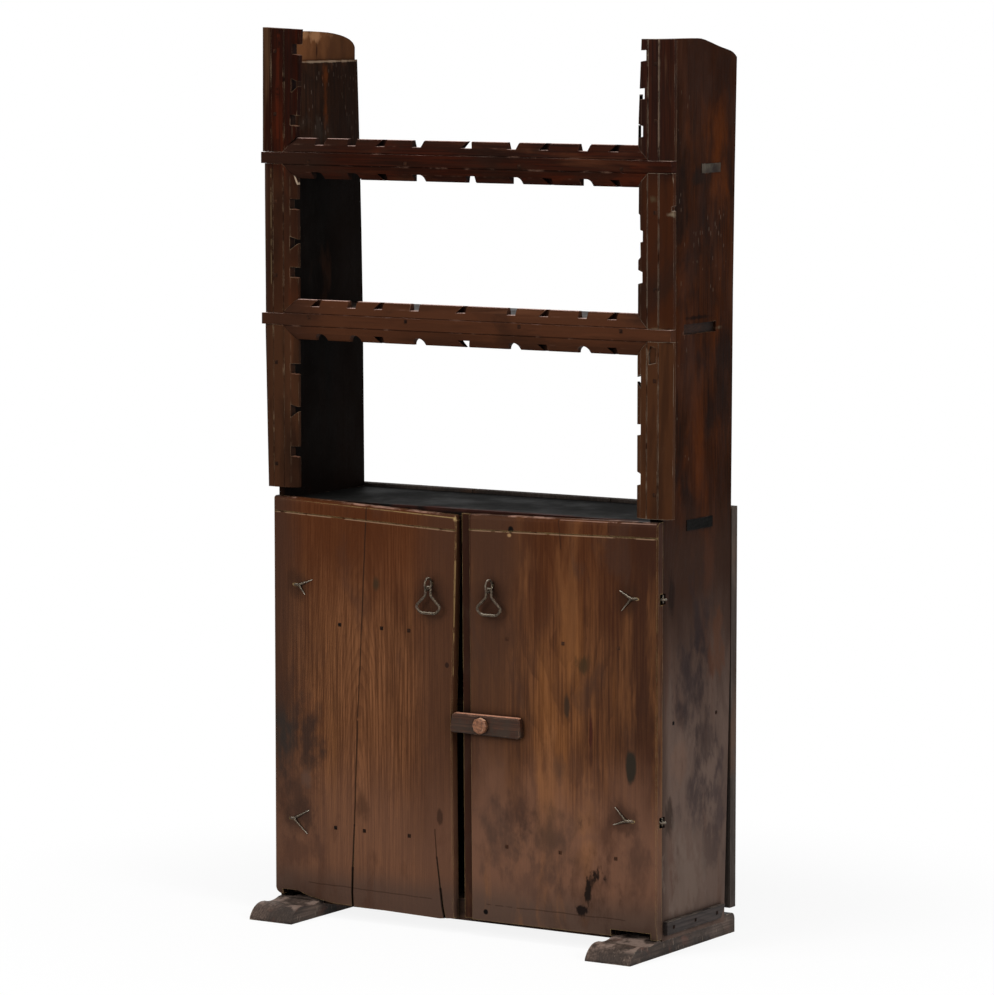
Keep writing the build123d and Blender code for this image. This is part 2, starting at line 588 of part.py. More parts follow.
def door_cuts(hinge_x, free_x, tops, slope_tops):
    """The rounded top edge, the scribed line under it, and the slope along the bottom."""
    rows = sorted(((hinge_x, tops[0], slope_tops[0]), (free_x, tops[1], slope_tops[1])))
    (x0, top0, slope0), (x1, top1, slope1) = rows
    x0, x1 = x0 - 1, x1 + 1
    r = DOOR_TOP_ROUND
    waste = make_face([
        Line((-1, -r), (0, -r)),
        ThreePointArc((0, -r), (r - r * cos(radians(45)), -r + r * sin(radians(45))), (r, 0)),
        Polyline((r, 0), (r, 1), (-1, 1), (-1, -r)),
    ])
    groove = outline((-1, GROOVE_WIDTH), (0, GROOVE_WIDTH / 2), (GROOVE_DEPTH, 0),
                     (0, -GROOVE_WIDTH / 2), (-1, -GROOVE_WIDTH))
    slope = outline((-1, 0), (0, 0), (FOOT_BEVEL_DEPTH, -FOOT_BEVEL_HEIGHT),
                    (FOOT_BEVEL_DEPTH, -2 * FOOT_BEVEL_HEIGHT), (-1, -2 * FOOT_BEVEL_HEIGHT))
    return [
        run_prism(waste, (x0, top0), (x1, top1)),
        run_prism(groove, (x0, top0 - GROOVE_BELOW_TOP), (x1, top1 - GROOVE_BELOW_TOP)),
        run_prism(slope, (x0, slope0), (x1, slope1)),
    ]


def left_door_panel():
    """The left door: one board, worn at the free edge and over its foot."""
    low, worn, high = LEFT_DOOR_FREE
    corner = LEFT_CORNER_ROUND
    under = [(-X_SIDE + reach, height) for reach, height in LEFT_DOOR_UNDER]
    bottom = under[0][1]
    edge_foot, sole_start = (-X_SIDE, bottom + corner), (-X_SIDE + corner, bottom)
    face = make_face([
        RadiusArc(edge_foot, sole_start, -corner),
        Polyline(sole_start, *under, (low, LEFT_DOOR_FREE_CORNER), (worn, BUTTON_HEIGHT),
                 (high, LEFT_DOOR_TOP[1]), (-X_SIDE, LEFT_DOOR_TOP[0]), edge_foot),
    ])
    panel = front_board(face, Y_FACE, Y_FRONT)
    free_corner = panel.edges().filter_by(Axis.Y).sort_by(Axis.X)[-1:]
    panel = fillet(free_corner, DOOR_TOP_ROUND)
    panel = chamfer(panel.edges().group_by(Axis.Y)[0], DOOR_ARRIS)
    panel -= [front_board(outline(*split), Y_FACE - 1, Y_FRONT + 1) for split in LEFT_DOOR_SPLITS]
    return panel - door_cuts(-X_SIDE, high, LEFT_DOOR_TOP, LEFT_SLOPE_TOP)


def right_door_panel():
    """The right door: a thin tongue at its free edge once lapped behind the left door."""
    low, middle, high = RIGHT_DOOR_FREE
    bottom = RIGHT_DOOR_BOTTOM
    notch_outer = X_SIDE - RIGHT_NOTCH_TOE
    notch_inner = X_SIDE - FOOT_INSET - FOOT_WIDTH
    face = outline(
        (low, bottom), (notch_inner, bottom), (notch_inner, RIGHT_NOTCH_TOP),
        (notch_outer, RIGHT_NOTCH_TOP), (notch_outer, bottom), (X_SIDE, bottom),
        (X_SIDE, RIGHT_DOOR_TOP[0]), (high, RIGHT_DOOR_TOP[1]), (middle, BUTTON_HEIGHT))
    panel = front_board(face, Y_FACE, Y_FRONT)
    panel = chamfer(panel.edges().group_by(Axis.Y)[0], DOOR_ARRIS)
    panel -= door_cuts(X_SIDE, high, RIGHT_DOOR_TOP, RIGHT_SLOPE_TOP)
    bed, top = LAP_BEDDING, RIGHT_DOOR_TOP[1]
    tongue = outline(
        (low - LAP_WIDTH[0], bottom), (low + bed, bottom), (middle + bed, BUTTON_HEIGHT),
        (high + bed, top), (high - LAP_WIDTH[2], top), (middle - LAP_WIDTH[1], BUTTON_HEIGHT))
    return panel + front_board(tongue, Y_FRONT - LAP_THICKNESS, Y_FRONT)


def door_batten(side, centre):
    """A ledge across the inside of a door, with its back arrises taken off."""
    x0, x1 = sorted(side * end for end in DOOR_BATTEN_SPAN)
    half = DOOR_BATTEN_HEIGHT / 2
    batten = block(x0, x1, Y_FRONT, Y_FRONT + DOOR_BATTEN_THICKNESS, centre - half, centre + half)
    return chamfer(batten.edges().group_by(Axis.Y)[-1], DOOR_BATTEN_CHAMFER)


# ------------------------------------------------------------------ hinges
class SnipeHinge:
    """Two split pins with interlocked eyes, on the right-hand corner of the carcass.

    The door's pin has a level eye about the hinge line and runs slanting out through the
    door. The side's pin has an upright eye that passes through the first, on the hinge
    line, and runs slanting through the side board. Both are clenched where they come out.
    """

    def __init__(self, height, prong_root, door_prongs):
        self.line = Vector(X_SIDE, Y_FRONT, height)
        self.door_way = self.aim(-prong_root, -DOOR_THICKNESS)
        self.side_way = self.aim(cos(radians(SIDE_PIN_ANGLE)), sin(radians(SIDE_PIN_ANGLE)))
        self.prong_root = prong_root
        self.door_prongs = door_prongs

    def aim(self, x, y):
        """A level unit vector."""
        return Vector(x, y, 0).normalized()

    def door_pin(self):
        """Level eye, slanting shank, and two prongs bent flat on the door's face."""
        run = sqrt(self.prong_root ** 2 + DOOR_THICKNESS ** 2)
        stand = SHANK_RADIUS + FACE_LIFT
        end = self.line + self.door_way * (run * (1 + stand / DOOR_THICKNESS))
        pin = forged_eye(Plane(origin=self.line), EYE_RADIUS)
        pin += forged_bar(self.line + self.door_way * EYE_RADIUS, end, SHANK_RADIUS)
        for run_in, rise in self.door_prongs:
            lift = SHANK_RADIUS - PRONG_TIP_RADIUS
            tip = end + Vector(-run_in, lift, rise)
            pin += forged_bar(end, tip, SHANK_RADIUS, PRONG_TIP_RADIUS)
        return pin

    def door_cut(self):
        """Hole for the shank, and the pocket that turns round the eyes."""
        hole = bore(self.line, self.line + self.door_way * (2 * self.prong_root),
                    SHANK_RADIUS + DRIVEN_FIT)
        return [hole, self.pocket()]

    def pocket(self):
        """The hollow at the corner that both eyes turn in."""
        return Pos(*self.line) * Cylinder(POCKET_RADIUS, 2 * POCKET_RADIUS)

    def side_pin(self):
        """Upright eye, slanting shank, and two prongs bent flat on the inner face."""
        centre = self.line + self.side_way * EYE_RADIUS
        stand = SHANK_RADIUS + FACE_LIFT
        run = (SIDE_THICKNESS + stand) / abs(self.side_way.X)
        end = self.line + self.side_way * run
        upright = Plane(origin=centre, z_dir=self.side_way.cross(Vector(0, 0, 1)))
        pin = forged_eye(upright, EYE_RADIUS)
        pin += forged_bar(centre + self.side_way * EYE_RADIUS, end, SHANK_RADIUS)
        for back, rise in SIDE_PRONGS:
            lift = SHANK_RADIUS - PRONG_TIP_RADIUS
            tip = end + Vector(lift, back, rise)
            pin += forged_bar(end, tip, SHANK_RADIUS, PRONG_TIP_RADIUS)
        return pin

    def side_cut(self):
        """Hole for the shank, the corner hollow, and a slot for the upright eye."""
        hole = bore(self.line, self.line + self.side_way * (3 * SIDE_THICKNESS),
                    SHANK_RADIUS + DRIVEN_FIT)
        centre = self.line + self.side_way * EYE_RADIUS
        upright = Plane(origin=centre, z_dir=self.side_way.cross(Vector(0, 0, 1)))
        slot = upright * Cylinder(EYE_OUTER + RUNNING_GAP, 2 * (WIRE_RADIUS + RUNNING_GAP))
        return [hole, self.pocket(), slot]


# ------------------------------------------------------------------ drop handles
def staple(x, z):
    """A split pin with an upright eye, clenched inside the door."""
    pin = forged_eye(Plane(origin=(x, Y_RING, z), z_dir=(1, 0, 0)), RING_RADIUS)
    end = (x, Y_FRONT + WIRE_RADIUS + FACE_LIFT, z)
    pin += forged_bar((x, Y_RING + RING_RADIUS, z), end, WIRE_RADIUS)
    for across, drop in STAPLE_PRONGS:
        tip = (x + across, Y_FRONT + PRONG_TIP_RADIUS + FACE_LIFT, z - drop)
        pin += forged_bar(end, tip, WIRE_RADIUS, PRONG_TIP_RADIUS)
    return pin


def staple_hole(x, z):
    """The hole through the door for a drop handle's pin."""
    return bore((x, Y_FACE - 1, z), (x, Y_FRONT + 1, z), WIRE_RADIUS + DRIVEN_FIT)


def bail(x, z):
    """A stirrup of bent rod that hangs by its narrow crown in the staple's eye."""
    crown, neck, shoulder, foot_bend = BAIL_BENDS
    right = [(BAIL_NECK, 0, crown), (BAIL_NECK, -BAIL_NECK_LENGTH, neck),
             (BAIL_SHOULDER[0], -BAIL_SHOULDER[1], shoulder),
             (BAIL_FOOT[0], -BAIL_FOOT[1], foot_bend)]
    corners = right + [(-u, v, bend) for u, v, bend in reversed(right)]
    path = FilletPolyline(*[(u, v) for u, v, _ in corners],
                          radius=[bend for _, _, bend in corners], close=True)
    place = Plane(origin=(x, Y_RING, z - BAIL_PIVOT_DROP), x_dir=(1, 0, 0), z_dir=(0, -1, 0))
    wire = place * path
    start = wire.edges()[0]
    section = Plane(origin=start @ 0, z_dir=start % 0) * RegularPolygon(BAIL_RADIUS, IRON_FLATS)
    return sweep(section, path=wire)


# ------------------------------------------------------------------ turn button
def turn_button():
    """A tapered wooden bar that turns on its peg."""
    left, right = BUTTON_LEFT_END, BUTTON_LEFT_END + BUTTON_LENGTH
    half = BUTTON_WIDTH / 2
    left_lean, right_lean = BUTTON_LEAN
    low, high = BUTTON_HEIGHT - half, BUTTON_HEIGHT + half
    face = outline((left, low + BUTTON_LEFT_RISE), (right, low), (right - right_lean, high),
                   (left + left_lean, high))
    bar = front_board(face, Y_BUTTON_FRONT, Y_BUTTON_BACK)
    bar = fillet(bar.edges().filter_by(Axis.Y), BUTTON_CORNER)
    bar = chamfer(bar.edges().group_by(Axis.Y)[0], BUTTON_SOFTENING)
    return bar - bore((X_PIVOT, Y_FRONT, BUTTON_HEIGHT),
                      (X_PIVOT, Y_BUTTON_FRONT - 1, BUTTON_HEIGHT), PEG_RADIUS + PEG_PLAY)


def button_peg():
    """The peg through button and door, with a faceted head."""
    y_head = Y_BUTTON_FRONT - RUNNING_GAP
    place = Plane(origin=(X_PIVOT, y_head, BUTTON_HEIGHT), z_dir=(0, -1, 0))
    head = extrude(place * RegularPolygon(PEG_HEAD_RADIUS, PEG_HEAD_SIDES), amount=PEG_HEAD_HEIGHT)
    head = chamfer(head.edges().group_by(Axis.Y)[0], PEG_HEAD_CHAMFER)
    return head + bore((X_PIVOT, y_head, BUTTON_HEIGHT),
                       (X_PIVOT, Y_FRONT + PEG_TAIL, BUTTON_HEIGHT), PEG_RADIUS)


def peg_hole():
    """The hole through the right door for the peg."""
    return bore((X_PIVOT, Y_FACE - 1, BUTTON_HEIGHT), (X_PIVOT, Y_FRONT + 1, BUTTON_HEIGHT),
                PEG_RADIUS + DRIVEN_FIT)


# ------------------------------------------------------------------ nails, by what they hold
def rack_nailings():
    """Nails through the rails into the shelves, and through the stiles into the sides."""
    y = Y_FRONT - STRIP_THICKNESS
    rails = [(share * X_INNER, y, z) for share in RAIL_NAIL_SHARES
             for z in (UPPER_RAIL_CENTRE - HALF_FLAT / 2, LOWER_RAIL_CENTRE + HALF_FLAT / 2)]
    stiles = []
    for side, (foot_end, head_end) in ((-1, LEFT_STILE_ENDS), (1, RIGHT_STILE_ENDS)):
        spans = (
            (foot_end, LOWER_RAIL_CENTRE - HALF_STRIP),
            (LOWER_RAIL_CENTRE + HALF_STRIP, UPPER_RAIL_CENTRE - HALF_STRIP),
            (UPPER_RAIL_CENTRE + HALF_STRIP, head_end),
        )
        heights = [z for low, high in spans
                   for z in (low + NAIL_EDGE_MARGIN, high - NAIL_EDGE_MARGIN)]
        stiles += [(side * (X_STRIP + HALF_FLAT / 2), y, z) for z in heights]
    return Nailing(rails, (0, -1, 0)), Nailing(stiles, (0, -1, 0))


def back_nailing(boards):
    """Nails through the back boards into the counter, the inner shelf and the bottom."""
    heights = (
        COUNTER_TOP - COUNTER_THICKNESS / 2,
        INNER_SHELF_TOP - INNER_SHELF_THICKNESS / 2,
        BOTTOM_BOARD_TOP - BOTTOM_BOARD_THICKNESS / 4,
    )
    points = []
    for board in boards:
        box = board.bounding_box()
        for x in (box.min.X + BACK_NAIL_MARGIN, box.max.X - BACK_NAIL_MARGIN):
            points += [(x, Y_BACK + BACK_THICKNESS, z) for z in heights]
    return Nailing(points, (0, 1, 0))


def side_nailings(side):
    """Nails through one side into the inner shelf, and through its cleat into the side."""
    shelf_z = INNER_SHELF_TOP - INNER_SHELF_THICKNESS / 2
    shelf = [(side * X_SIDE, Y_FRONT + start, shelf_z) for start in SHELF_NAIL_STARTS]
    x = side * (X_SIDE + SIDE_CLEAT_THICKNESS)
    cleat_z = SIDE_CLEAT_BOTTOM + SIDE_CLEAT_HEIGHT / 2
    cleat = [(x, Y_FRONT + start, cleat_z) for start in CLEAT_NAIL_STARTS]
    return (Nailing(shelf, (side, 0, 0), SHELF_NAIL_LENGTH),
            Nailing(cleat, (side, 0, 0), SHORT_NAIL_LENGTH))


def door_nailing(side):
    """Nails through a door into its battens."""
    points = [(x, Y_FACE, z) for row, z in zip(DOOR_NAILS[side], DOOR_BATTEN_CENTRES)
              for x in row]
    return Nailing(points, (0, -1, 0), SHORT_NAIL_LENGTH)


# ------------------------------------------------------------------ assembly
def carcass_nodes(hinges, stile_nailing, rail_nailing):
    """Sides, feet, shelves, bottom and back, with the joints between them cut."""
    nodes = {}
    upper_shelf = housed_shelf(UPPER_SHELF_BOTTOM, SHELF_THICKNESS, SHELF_DEPTH, UPPER_TENON)
    lower_shelf = housed_shelf(LOWER_SHELF_BOTTOM, PLATE_SHELF_THICKNESS, SHELF_DEPTH,
                               LOWER_TENON)
    counter = housed_shelf(COUNTER_TOP - COUNTER_THICKNESS, COUNTER_THICKNESS, CARCASS_DEPTH,
                           COUNTER_TENON, Y_FRONT + RUNNING_GAP)
    bottom = block(-X_INNER - DADO, X_INNER + DADO, Y_FRONT + RUNNING_GAP, Y_BACK,
                   BOTTOM_BOARD_TOP - BOTTOM_BOARD_THICKNESS, BOTTOM_BOARD_TOP)
    inner_shelf = block(-X_INNER, X_INNER, Y_FRONT + INNER_SHELF_SETBACK, Y_BACK,
                        INNER_SHELF_TOP - INNER_SHELF_THICKNESS, INNER_SHELF_TOP)
    stretcher = front_stretcher()
    boards = back_boards()
    backs = back_nailing(boards)
    blanks = {
        "left": (mirrored(side_board(LEFT_BOW, RACK_TOP, LEFT_TOP_FALL)), mirrored(foot()),
                 mirrored(side_cleat()), side_nailings(-1)),
        "right": (side_board(RIGHT_BOW, RACK_TOP - RIGHT_SIDE_SHORTFALL, RIGHT_TOP_FALL),
                  foot(), side_cleat(), side_nailings(1)),
    }
    shelf_nails, cleat_nails = [], []
    for side, (board, one_foot, cleat, (shelf_nailing, cleat_nailing)) in blanks.items():
        cuts = [flip(cut) for hinge, flip in hinges[side] for cut in hinge.side_cut()]
        cuts += (shelf_nailing.holes + cleat_nailing.holes + stile_nailing.holes
                 + backs.holes)
        nodes[f"{side}_side_board"] = board - [upper_shelf, lower_shelf, counter, bottom] - cuts
        nodes[f"{side}_foot"] = one_foot - board - stretcher
        nodes[f"{side}_side_cleat"] = cleat - cleat_nailing.holes
        inner_shelf -= shelf_nailing.holes
        shelf_nails += shelf_nailing.nails
        cleat_nails += cleat_nailing.nails
    nodes["upper_shelf"] = upper_shelf - rail_nailing.holes
    nodes["lower_shelf"] = lower_shelf - rail_nailing.holes - sunk_end()
    nodes["counter_board"] = counter - backs.holes
    nodes["bottom_board"] = bottom - backs.holes
    nodes["inner_shelf"] = inner_shelf - backs.holes
    nodes["front_stretcher"] = stretcher
    for name, board in zip(("left", "middle", "right"), boards):
        nodes[f"{name}_back_board"] = board - backs.holes
    nodes["back_nails"] = Compound(children=backs.nails)
    nodes["shelf_nails"] = Compound(children=shelf_nails)
    nodes["cleat_nails"] = Compound(children=cleat_nails)
    return nodes


def rack_nodes(rail_nailing, stile_nailing):
    """The two rails and six stiles on the front of the rack."""
    nodes = {
        "upper_rail": rail(UPPER_RAIL_CENTRE, UPPER_RAIL_TOP_NOTCHES, UPPER_RAIL_LOW_NOTCHES),
        "lower_rail": rail(LOWER_RAIL_CENTRE, LOWER_RAIL_TOP_NOTCHES, LOWER_RAIL_LOW_NOTCHES),
    }
    for name in nodes:
        nodes[name] -= rail_nailing.holes
    for side, (foot_end, head_end) in (("left", LEFT_STILE_ENDS), ("right", RIGHT_STILE_ENDS)):
        heights = (foot_end, LOWER_RAIL_CENTRE, UPPER_RAIL_CENTRE, head_end)
        for level, low, high in zip(("lower", "middle", "upper"), heights, heights[1:]):
            piece = stile(f"{side}_{level}", low, high)
            nodes[f"{side}_{level}_stile"] = piece - stile_nailing.holes
    nodes["rack_nails"] = Compound(children=rail_nailing.nails + stile_nailing.nails)
    return nodes


def make_hinges():
    """All four snipe hinges, with what puts each on its own side."""
    rows = {
        "left": (LEFT_HINGE_HEIGHTS, LEFT_PRONG_ROOTS, LEFT_PRONGS, mirrored),
        "right": (RIGHT_HINGE_HEIGHTS, RIGHT_PRONG_ROOTS, RIGHT_PRONGS, lambda solid: solid),
    }
    return {side: [(SnipeHinge(*row), flip) for row in zip(heights, roots, prongs)]
            for side, (heights, roots, prongs, flip) in rows.items()}


def hinge_nodes(hinges):
    """The two pins of each hinge."""
    nodes = {}
    for side, pairs in hinges.items():
        for level, (hinge, flip) in zip(("lower", "upper"), pairs):
            nodes[f"{side}_{level}_door_hinge_pin"] = flip(hinge.door_pin())
            nodes[f"{side}_{level}_side_hinge_pin"] = flip(hinge.side_pin())
    return nodes


def door_nodes(hinges):
    """Both doors with their battens, drop handles and the turn button."""
    nodes = {}
    panels = {"left": (-1, left_door_panel()), "right": (1, right_door_panel() - peg_hole())}
    for side, (hand, panel) in panels.items():
        x, z = HANDLE_PLACES[side]
        nailing = door_nailing(side)
        cuts = [flip(cut) for hinge, flip in hinges[side] for cut in hinge.door_cut()]
        nodes[f"{side}_door"] = panel - cuts - staple_hole(x, z) - nailing.holes
        nodes[f"{side}_handle_staple"] = staple(x, z)
        nodes[f"{side}_handle_bail"] = bail(x, z)
        for level, centre in zip(("lower", "upper"), DOOR_BATTEN_CENTRES):
            nodes[f"{side}_door_{level}_batten"] = door_batten(hand, centre) - nailing.holes
        nodes[f"{side}_door_nails"] = Compound(children=nailing.nails)
    nodes["turn_button"] = turn_button()
    nodes["button_peg"] = button_peg()
    return nodes


def main():
    """Make every piece and write the nodes."""
    os.makedirs("parts", exist_ok=True)
    hinges = make_hinges()
    rail_nailing, stile_nailing = rack_nailings()
    nodes = carcass_nodes(hinges, stile_nailing, rail_nailing)
    nodes.update(rack_nodes(rail_nailing, stile_nailing))
    nodes.update(hinge_nodes(hinges))
    nodes.update(door_nodes(hinges))
    for name, shape in nodes.items():
        export_step(shape, f"parts/{name}.step")
    print(len(nodes), "nodes")


main()
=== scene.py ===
"""Looks of an old boarded cupboard with a notched spoon rack.

Every visible board, moulding and forged fitting is rebuilt as its own worn mesh over the frame,
then dressed in procedural wood or iron. Metres, +Z up, the front looks along -Y.
"""

import logging
from dataclasses import dataclass, field
from enum import Enum
from math import pi, radians
from typing import Iterable, Sequence, Union

import bmesh
import bpy
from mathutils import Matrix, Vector, noise


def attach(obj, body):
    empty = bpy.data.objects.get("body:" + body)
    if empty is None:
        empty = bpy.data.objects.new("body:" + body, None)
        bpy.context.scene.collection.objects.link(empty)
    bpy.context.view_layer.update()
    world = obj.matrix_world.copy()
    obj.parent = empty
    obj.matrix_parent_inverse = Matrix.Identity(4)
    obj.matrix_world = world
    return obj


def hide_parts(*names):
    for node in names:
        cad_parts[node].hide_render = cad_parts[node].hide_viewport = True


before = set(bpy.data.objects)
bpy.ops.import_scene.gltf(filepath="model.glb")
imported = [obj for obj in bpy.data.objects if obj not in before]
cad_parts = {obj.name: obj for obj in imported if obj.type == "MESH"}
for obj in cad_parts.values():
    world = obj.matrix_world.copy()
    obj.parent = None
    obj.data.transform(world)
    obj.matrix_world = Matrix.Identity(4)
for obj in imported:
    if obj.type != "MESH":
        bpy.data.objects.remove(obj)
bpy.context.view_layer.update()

LOG = logging.getLogger("cupboard")
MM = 0.001

Colour = tuple[float, float, float, float]
Point = tuple[float, float, float]
Place = tuple[float, float]         # a place on a front: across and height
Socket = bpy.types.NodeSocket
Sockets = dict[str, Socket]
Term = Union[Socket, float, tuple]  # what a node's input takes: a link or a plain value


def paint(red: int, green: int, blue: int) -> Colour:
    """Turn a colour as a painter would name it on a screen into linear light.

    Args:
        red: Red, from 0 to 255.
        green: Green, from 0 to 255.
        blue: Blue, from 0 to 255.

    Returns:
        The colour as four linear numbers, with full opacity.
    """
    def linear(value: int) -> float:
        """One channel in linear light."""
        share = value / 255
        return share / 12.92 if share <= 0.04045 else ((share + 0.055) / 1.055) ** 2.4

    return (linear(red), linear(green), linear(blue), 1.0)


class Grain(Enum):
    """The way the fibres of a board run, as the turn that brings them upright."""

    UPRIGHT = (0.0, 0.0, 0.0)
    ACROSS = (0.0, -pi / 2, 0.0)
    FRONT_TO_BACK = (pi / 2, 0.0, 0.0)


class Axis(Enum):
    """The frame's directions, by their place in a point."""

    ACROSS = 0
    DEPTH = 1
    HEIGHT = 2


class Body(Enum):
    """The moving bodies of the frame."""

    CARCASS = "carcass"
    LEFT_DOOR = "left_door_body"
    RIGHT_DOOR = "right_door_body"
    LEFT_BAIL = "left_bail_body"
    RIGHT_BAIL = "right_bail_body"
    BUTTON = "turn_button_body"


class Slot(Enum):
    """The record's material slots."""

    RACK = "oak_rack"
    SIDE = "oak_side"
    DOOR = "pine_door"
    INSIDE = "oak_inside"
    FOOT = "oak_foot"
    BUTTON = "button_wood"
    IRON = "forged_iron"


# ------------------------------------------------------------------ node trees
class Tree:
    """A thin wrapper that adds and links shader nodes."""

    def __init__(self, tree: bpy.types.NodeTree) -> None:
        """Keep the tree that the nodes go into."""
        self.tree = tree

    def add(self, kind: str, inputs: dict | None = None, **settings: object) -> bpy.types.Node:
        """Add one node.

        Args:
            kind: Blender's name of the node type.
            inputs: Values or sockets for the node's inputs, by name or index.
            **settings: Properties set on the node first.

        Returns:
            The new node.
        """
        node = self.tree.nodes.new(kind)
        for name, value in settings.items():
            setattr(node, name, value)
        for key, value in (inputs or {}).items():
            self.feed(node.inputs[key], value)
        return node

    def feed(self, socket: Socket, value: Term) -> None:
        """Link a value to an input, or set it there where it is a plain one.

        Args:
            socket: The input.
            value: What it takes.
        """
        if isinstance(value, Socket):
            self.tree.links.new(value, socket)
        else:
            socket.default_value = value

    def math(self, operation: str, *terms: Term, clamp: bool = False) -> Socket:
        """Combine numbers with one Math node and return its result."""
        inputs = dict(enumerate(terms))
        return self.add("ShaderNodeMath", inputs, operation=operation, use_clamp=clamp).outputs[0]

    def vector(self, operation: str, *terms: Term) -> Socket:
        """Combine vectors with one Vector Math node and return its vector."""
        inputs = dict(enumerate(terms))
        return self.add("ShaderNodeVectorMath", inputs, operation=operation).outputs[0]

    def length(self, vector: Socket) -> Socket:
        """The length of a vector."""
        return self.add("ShaderNodeVectorMath", {0: vector}, operation="LENGTH").outputs["Value"]

    def ramp(self, value: Term, low: Term, high: Term, to_low: Term = 0.0,
             to_high: Term = 1.0) -> Socket:
        """Map a number smoothly from one range onto another, held at both ends.

        Args:
            value: The number.
            low: Where the first range begins.
            high: Where it ends.
            to_low: What the number becomes at its beginning.
            to_high: What it becomes at its end.

        Returns:
            The mapped number.
        """
        inputs = {"Value": value, "From Min": low, "From Max": high,
                  "To Min": to_low, "To Max": to_high}
        node = self.add("ShaderNodeMapRange", inputs, interpolation_type="SMOOTHSTEP")
        return node.outputs["Result"]

    def mix(self, share: Term, first: Term, second: Term) -> Socket:
        """Lay one colour over another.

        Args:
            share: How much the upper colour covers.
            first: The lower colour.
            second: The upper colour.

        Returns:
            The mixture.
        """
        node = self.add("ShaderNodeMix", {"Factor": share}, data_type="RGBA")
        colours = [socket for socket in node.inputs if socket.type == "RGBA"]
        for socket, value in zip(colours, (first, second)):
            self.feed(socket, value)
        return next(socket for socket in node.outputs if socket.type == "RGBA")

    def noise(self, vector: Socket, scale: Term, detail: float = 3.0, roughness: float = 0.55,
              distortion: float = 0.0) -> Socket:
        """Soft noise from 0 to 1.

        Args:
            vector: Where it is read.
            scale: Waves in a metre.
            detail: How many finer layers it has.
            roughness: How strong the finer layers are.
            distortion: How much it is swirled.

        Returns:
            The noise.
        """
        inputs = {"Vector": vector, "Scale": scale, "Detail": detail,
                  "Roughness": roughness, "Distortion": distortion}
        return self.add("ShaderNodeTexNoise", inputs).outputs[0]


class Effect(Tree):
    """A shader node group that several finishes share, made once."""

    def __init__(self, name: str, inputs: dict[str, object], outputs: Iterable[str]) -> None:
        """Make the group and its sockets.

        Args:
            name: The group's name.
            inputs: Default of each input by name: a number, or a triple for a vector.
            outputs: Names of the outputs, which are all numbers.
        """
        group = bpy.data.node_groups.new(name, "ShaderNodeTree")
        for key, value in inputs.items():
            kind = "NodeSocketVector" if isinstance(value, tuple) else "NodeSocketFloat"
            socket = group.interface.new_socket(key, in_out="INPUT", socket_type=kind)
            socket.default_value = value
        for key in outputs:
            group.interface.new_socket(key, in_out="OUTPUT", socket_type="NodeSocketFloat")
        super().__init__(group)
        self.given = self.add("NodeGroupInput").outputs
        self.result = self.add("NodeGroupOutput")

    def give(self, name: str, value: Socket) -> None:
        """Send a value out of the group."""
        self.tree.links.new(value, self.result.inputs[name])

    def place(self, tree: Tree, **inputs: Term) -> Sockets:
        """Place the group in a material.

        Args:
            tree: The material's node tree.
            **inputs: Values or sockets, with underscores for the spaces in the names.

        Returns:
            The placed node's outputs.
        """
        node = tree.add("ShaderNodeGroup", node_tree=self.tree)
        for key, value in inputs.items():
            tree.feed(node.inputs[key.replace("_", " ")], value)
        return node.outputs


def make_figure() -> Effect:
    """Growth rings, fibres and pores of a board whose grain stands upright.

    Returns:
        The effect.
    """
    effect = Effect("wood_figure", {
        "Vector": (0.0, 0.0, 0.0), "Pith": (0.0, 0.1, 0.0), "Lean": (0.02, 0.0, 0.0),
        "Rings": 160.0, "Waviness": 0.02, "Fibre Scale": 260.0,
    }, ("Rings", "Fibre", "Pores"))
    given = effect.given
    slow = effect.vector("MULTIPLY", given["Vector"], (2.2, 2.2, 0.9))
    sway = effect.math("MULTIPLY", effect.math("SUBTRACT", effect.noise(slow, 2.6, 2.0), 0.5),
                       given["Waviness"])
    apart = effect.vector("SUBTRACT", given["Vector"], given["Pith"])
    split = effect.add("ShaderNodeSeparateXYZ", {0: apart}).outputs
    lean = effect.add("ShaderNodeSeparateXYZ", {0: given["Lean"]}).outputs
    flat = effect.add("ShaderNodeCombineXYZ", {
        key: effect.math("ADD", split[key], effect.math("MULTIPLY", split["Z"], lean[key]))
        for key in ("X", "Y")}).outputs[0]
    distance = effect.math("ADD", effect.length(flat), sway)
    fine = effect.vector("MULTIPLY", given["Vector"], (1.0, 1.0, 0.3))
    jitter = effect.math("MULTIPLY", effect.noise(fine, 38.0, 3.0), 1.1)
    turns = effect.math("ADD", effect.math("MULTIPLY", distance, given["Rings"]), jitter)
    saw = effect.math("FRACT", turns)
    late = effect.ramp(saw, 0.35, 0.93)
    fall = effect.ramp(saw, 0.93, 1.0, 1.0, 0.0)
    effect.give("Rings", effect.math("MULTIPLY", late, fall))
    drawn = effect.vector("MULTIPLY", given["Vector"], (1.0, 1.0, 0.022))
    effect.give("Fibre", effect.noise(drawn, given["Fibre Scale"], 4.0, 0.65))
    short = effect.vector("MULTIPLY", given["Vector"], (1.0, 1.0, 0.09))
    speck = effect.noise(short, effect.math("MULTIPLY", given["Fibre Scale"], 3.2), 2.0, 0.5)
    effect.give("Pores", effect.ramp(speck, 0.6, 0.74))
    return effect


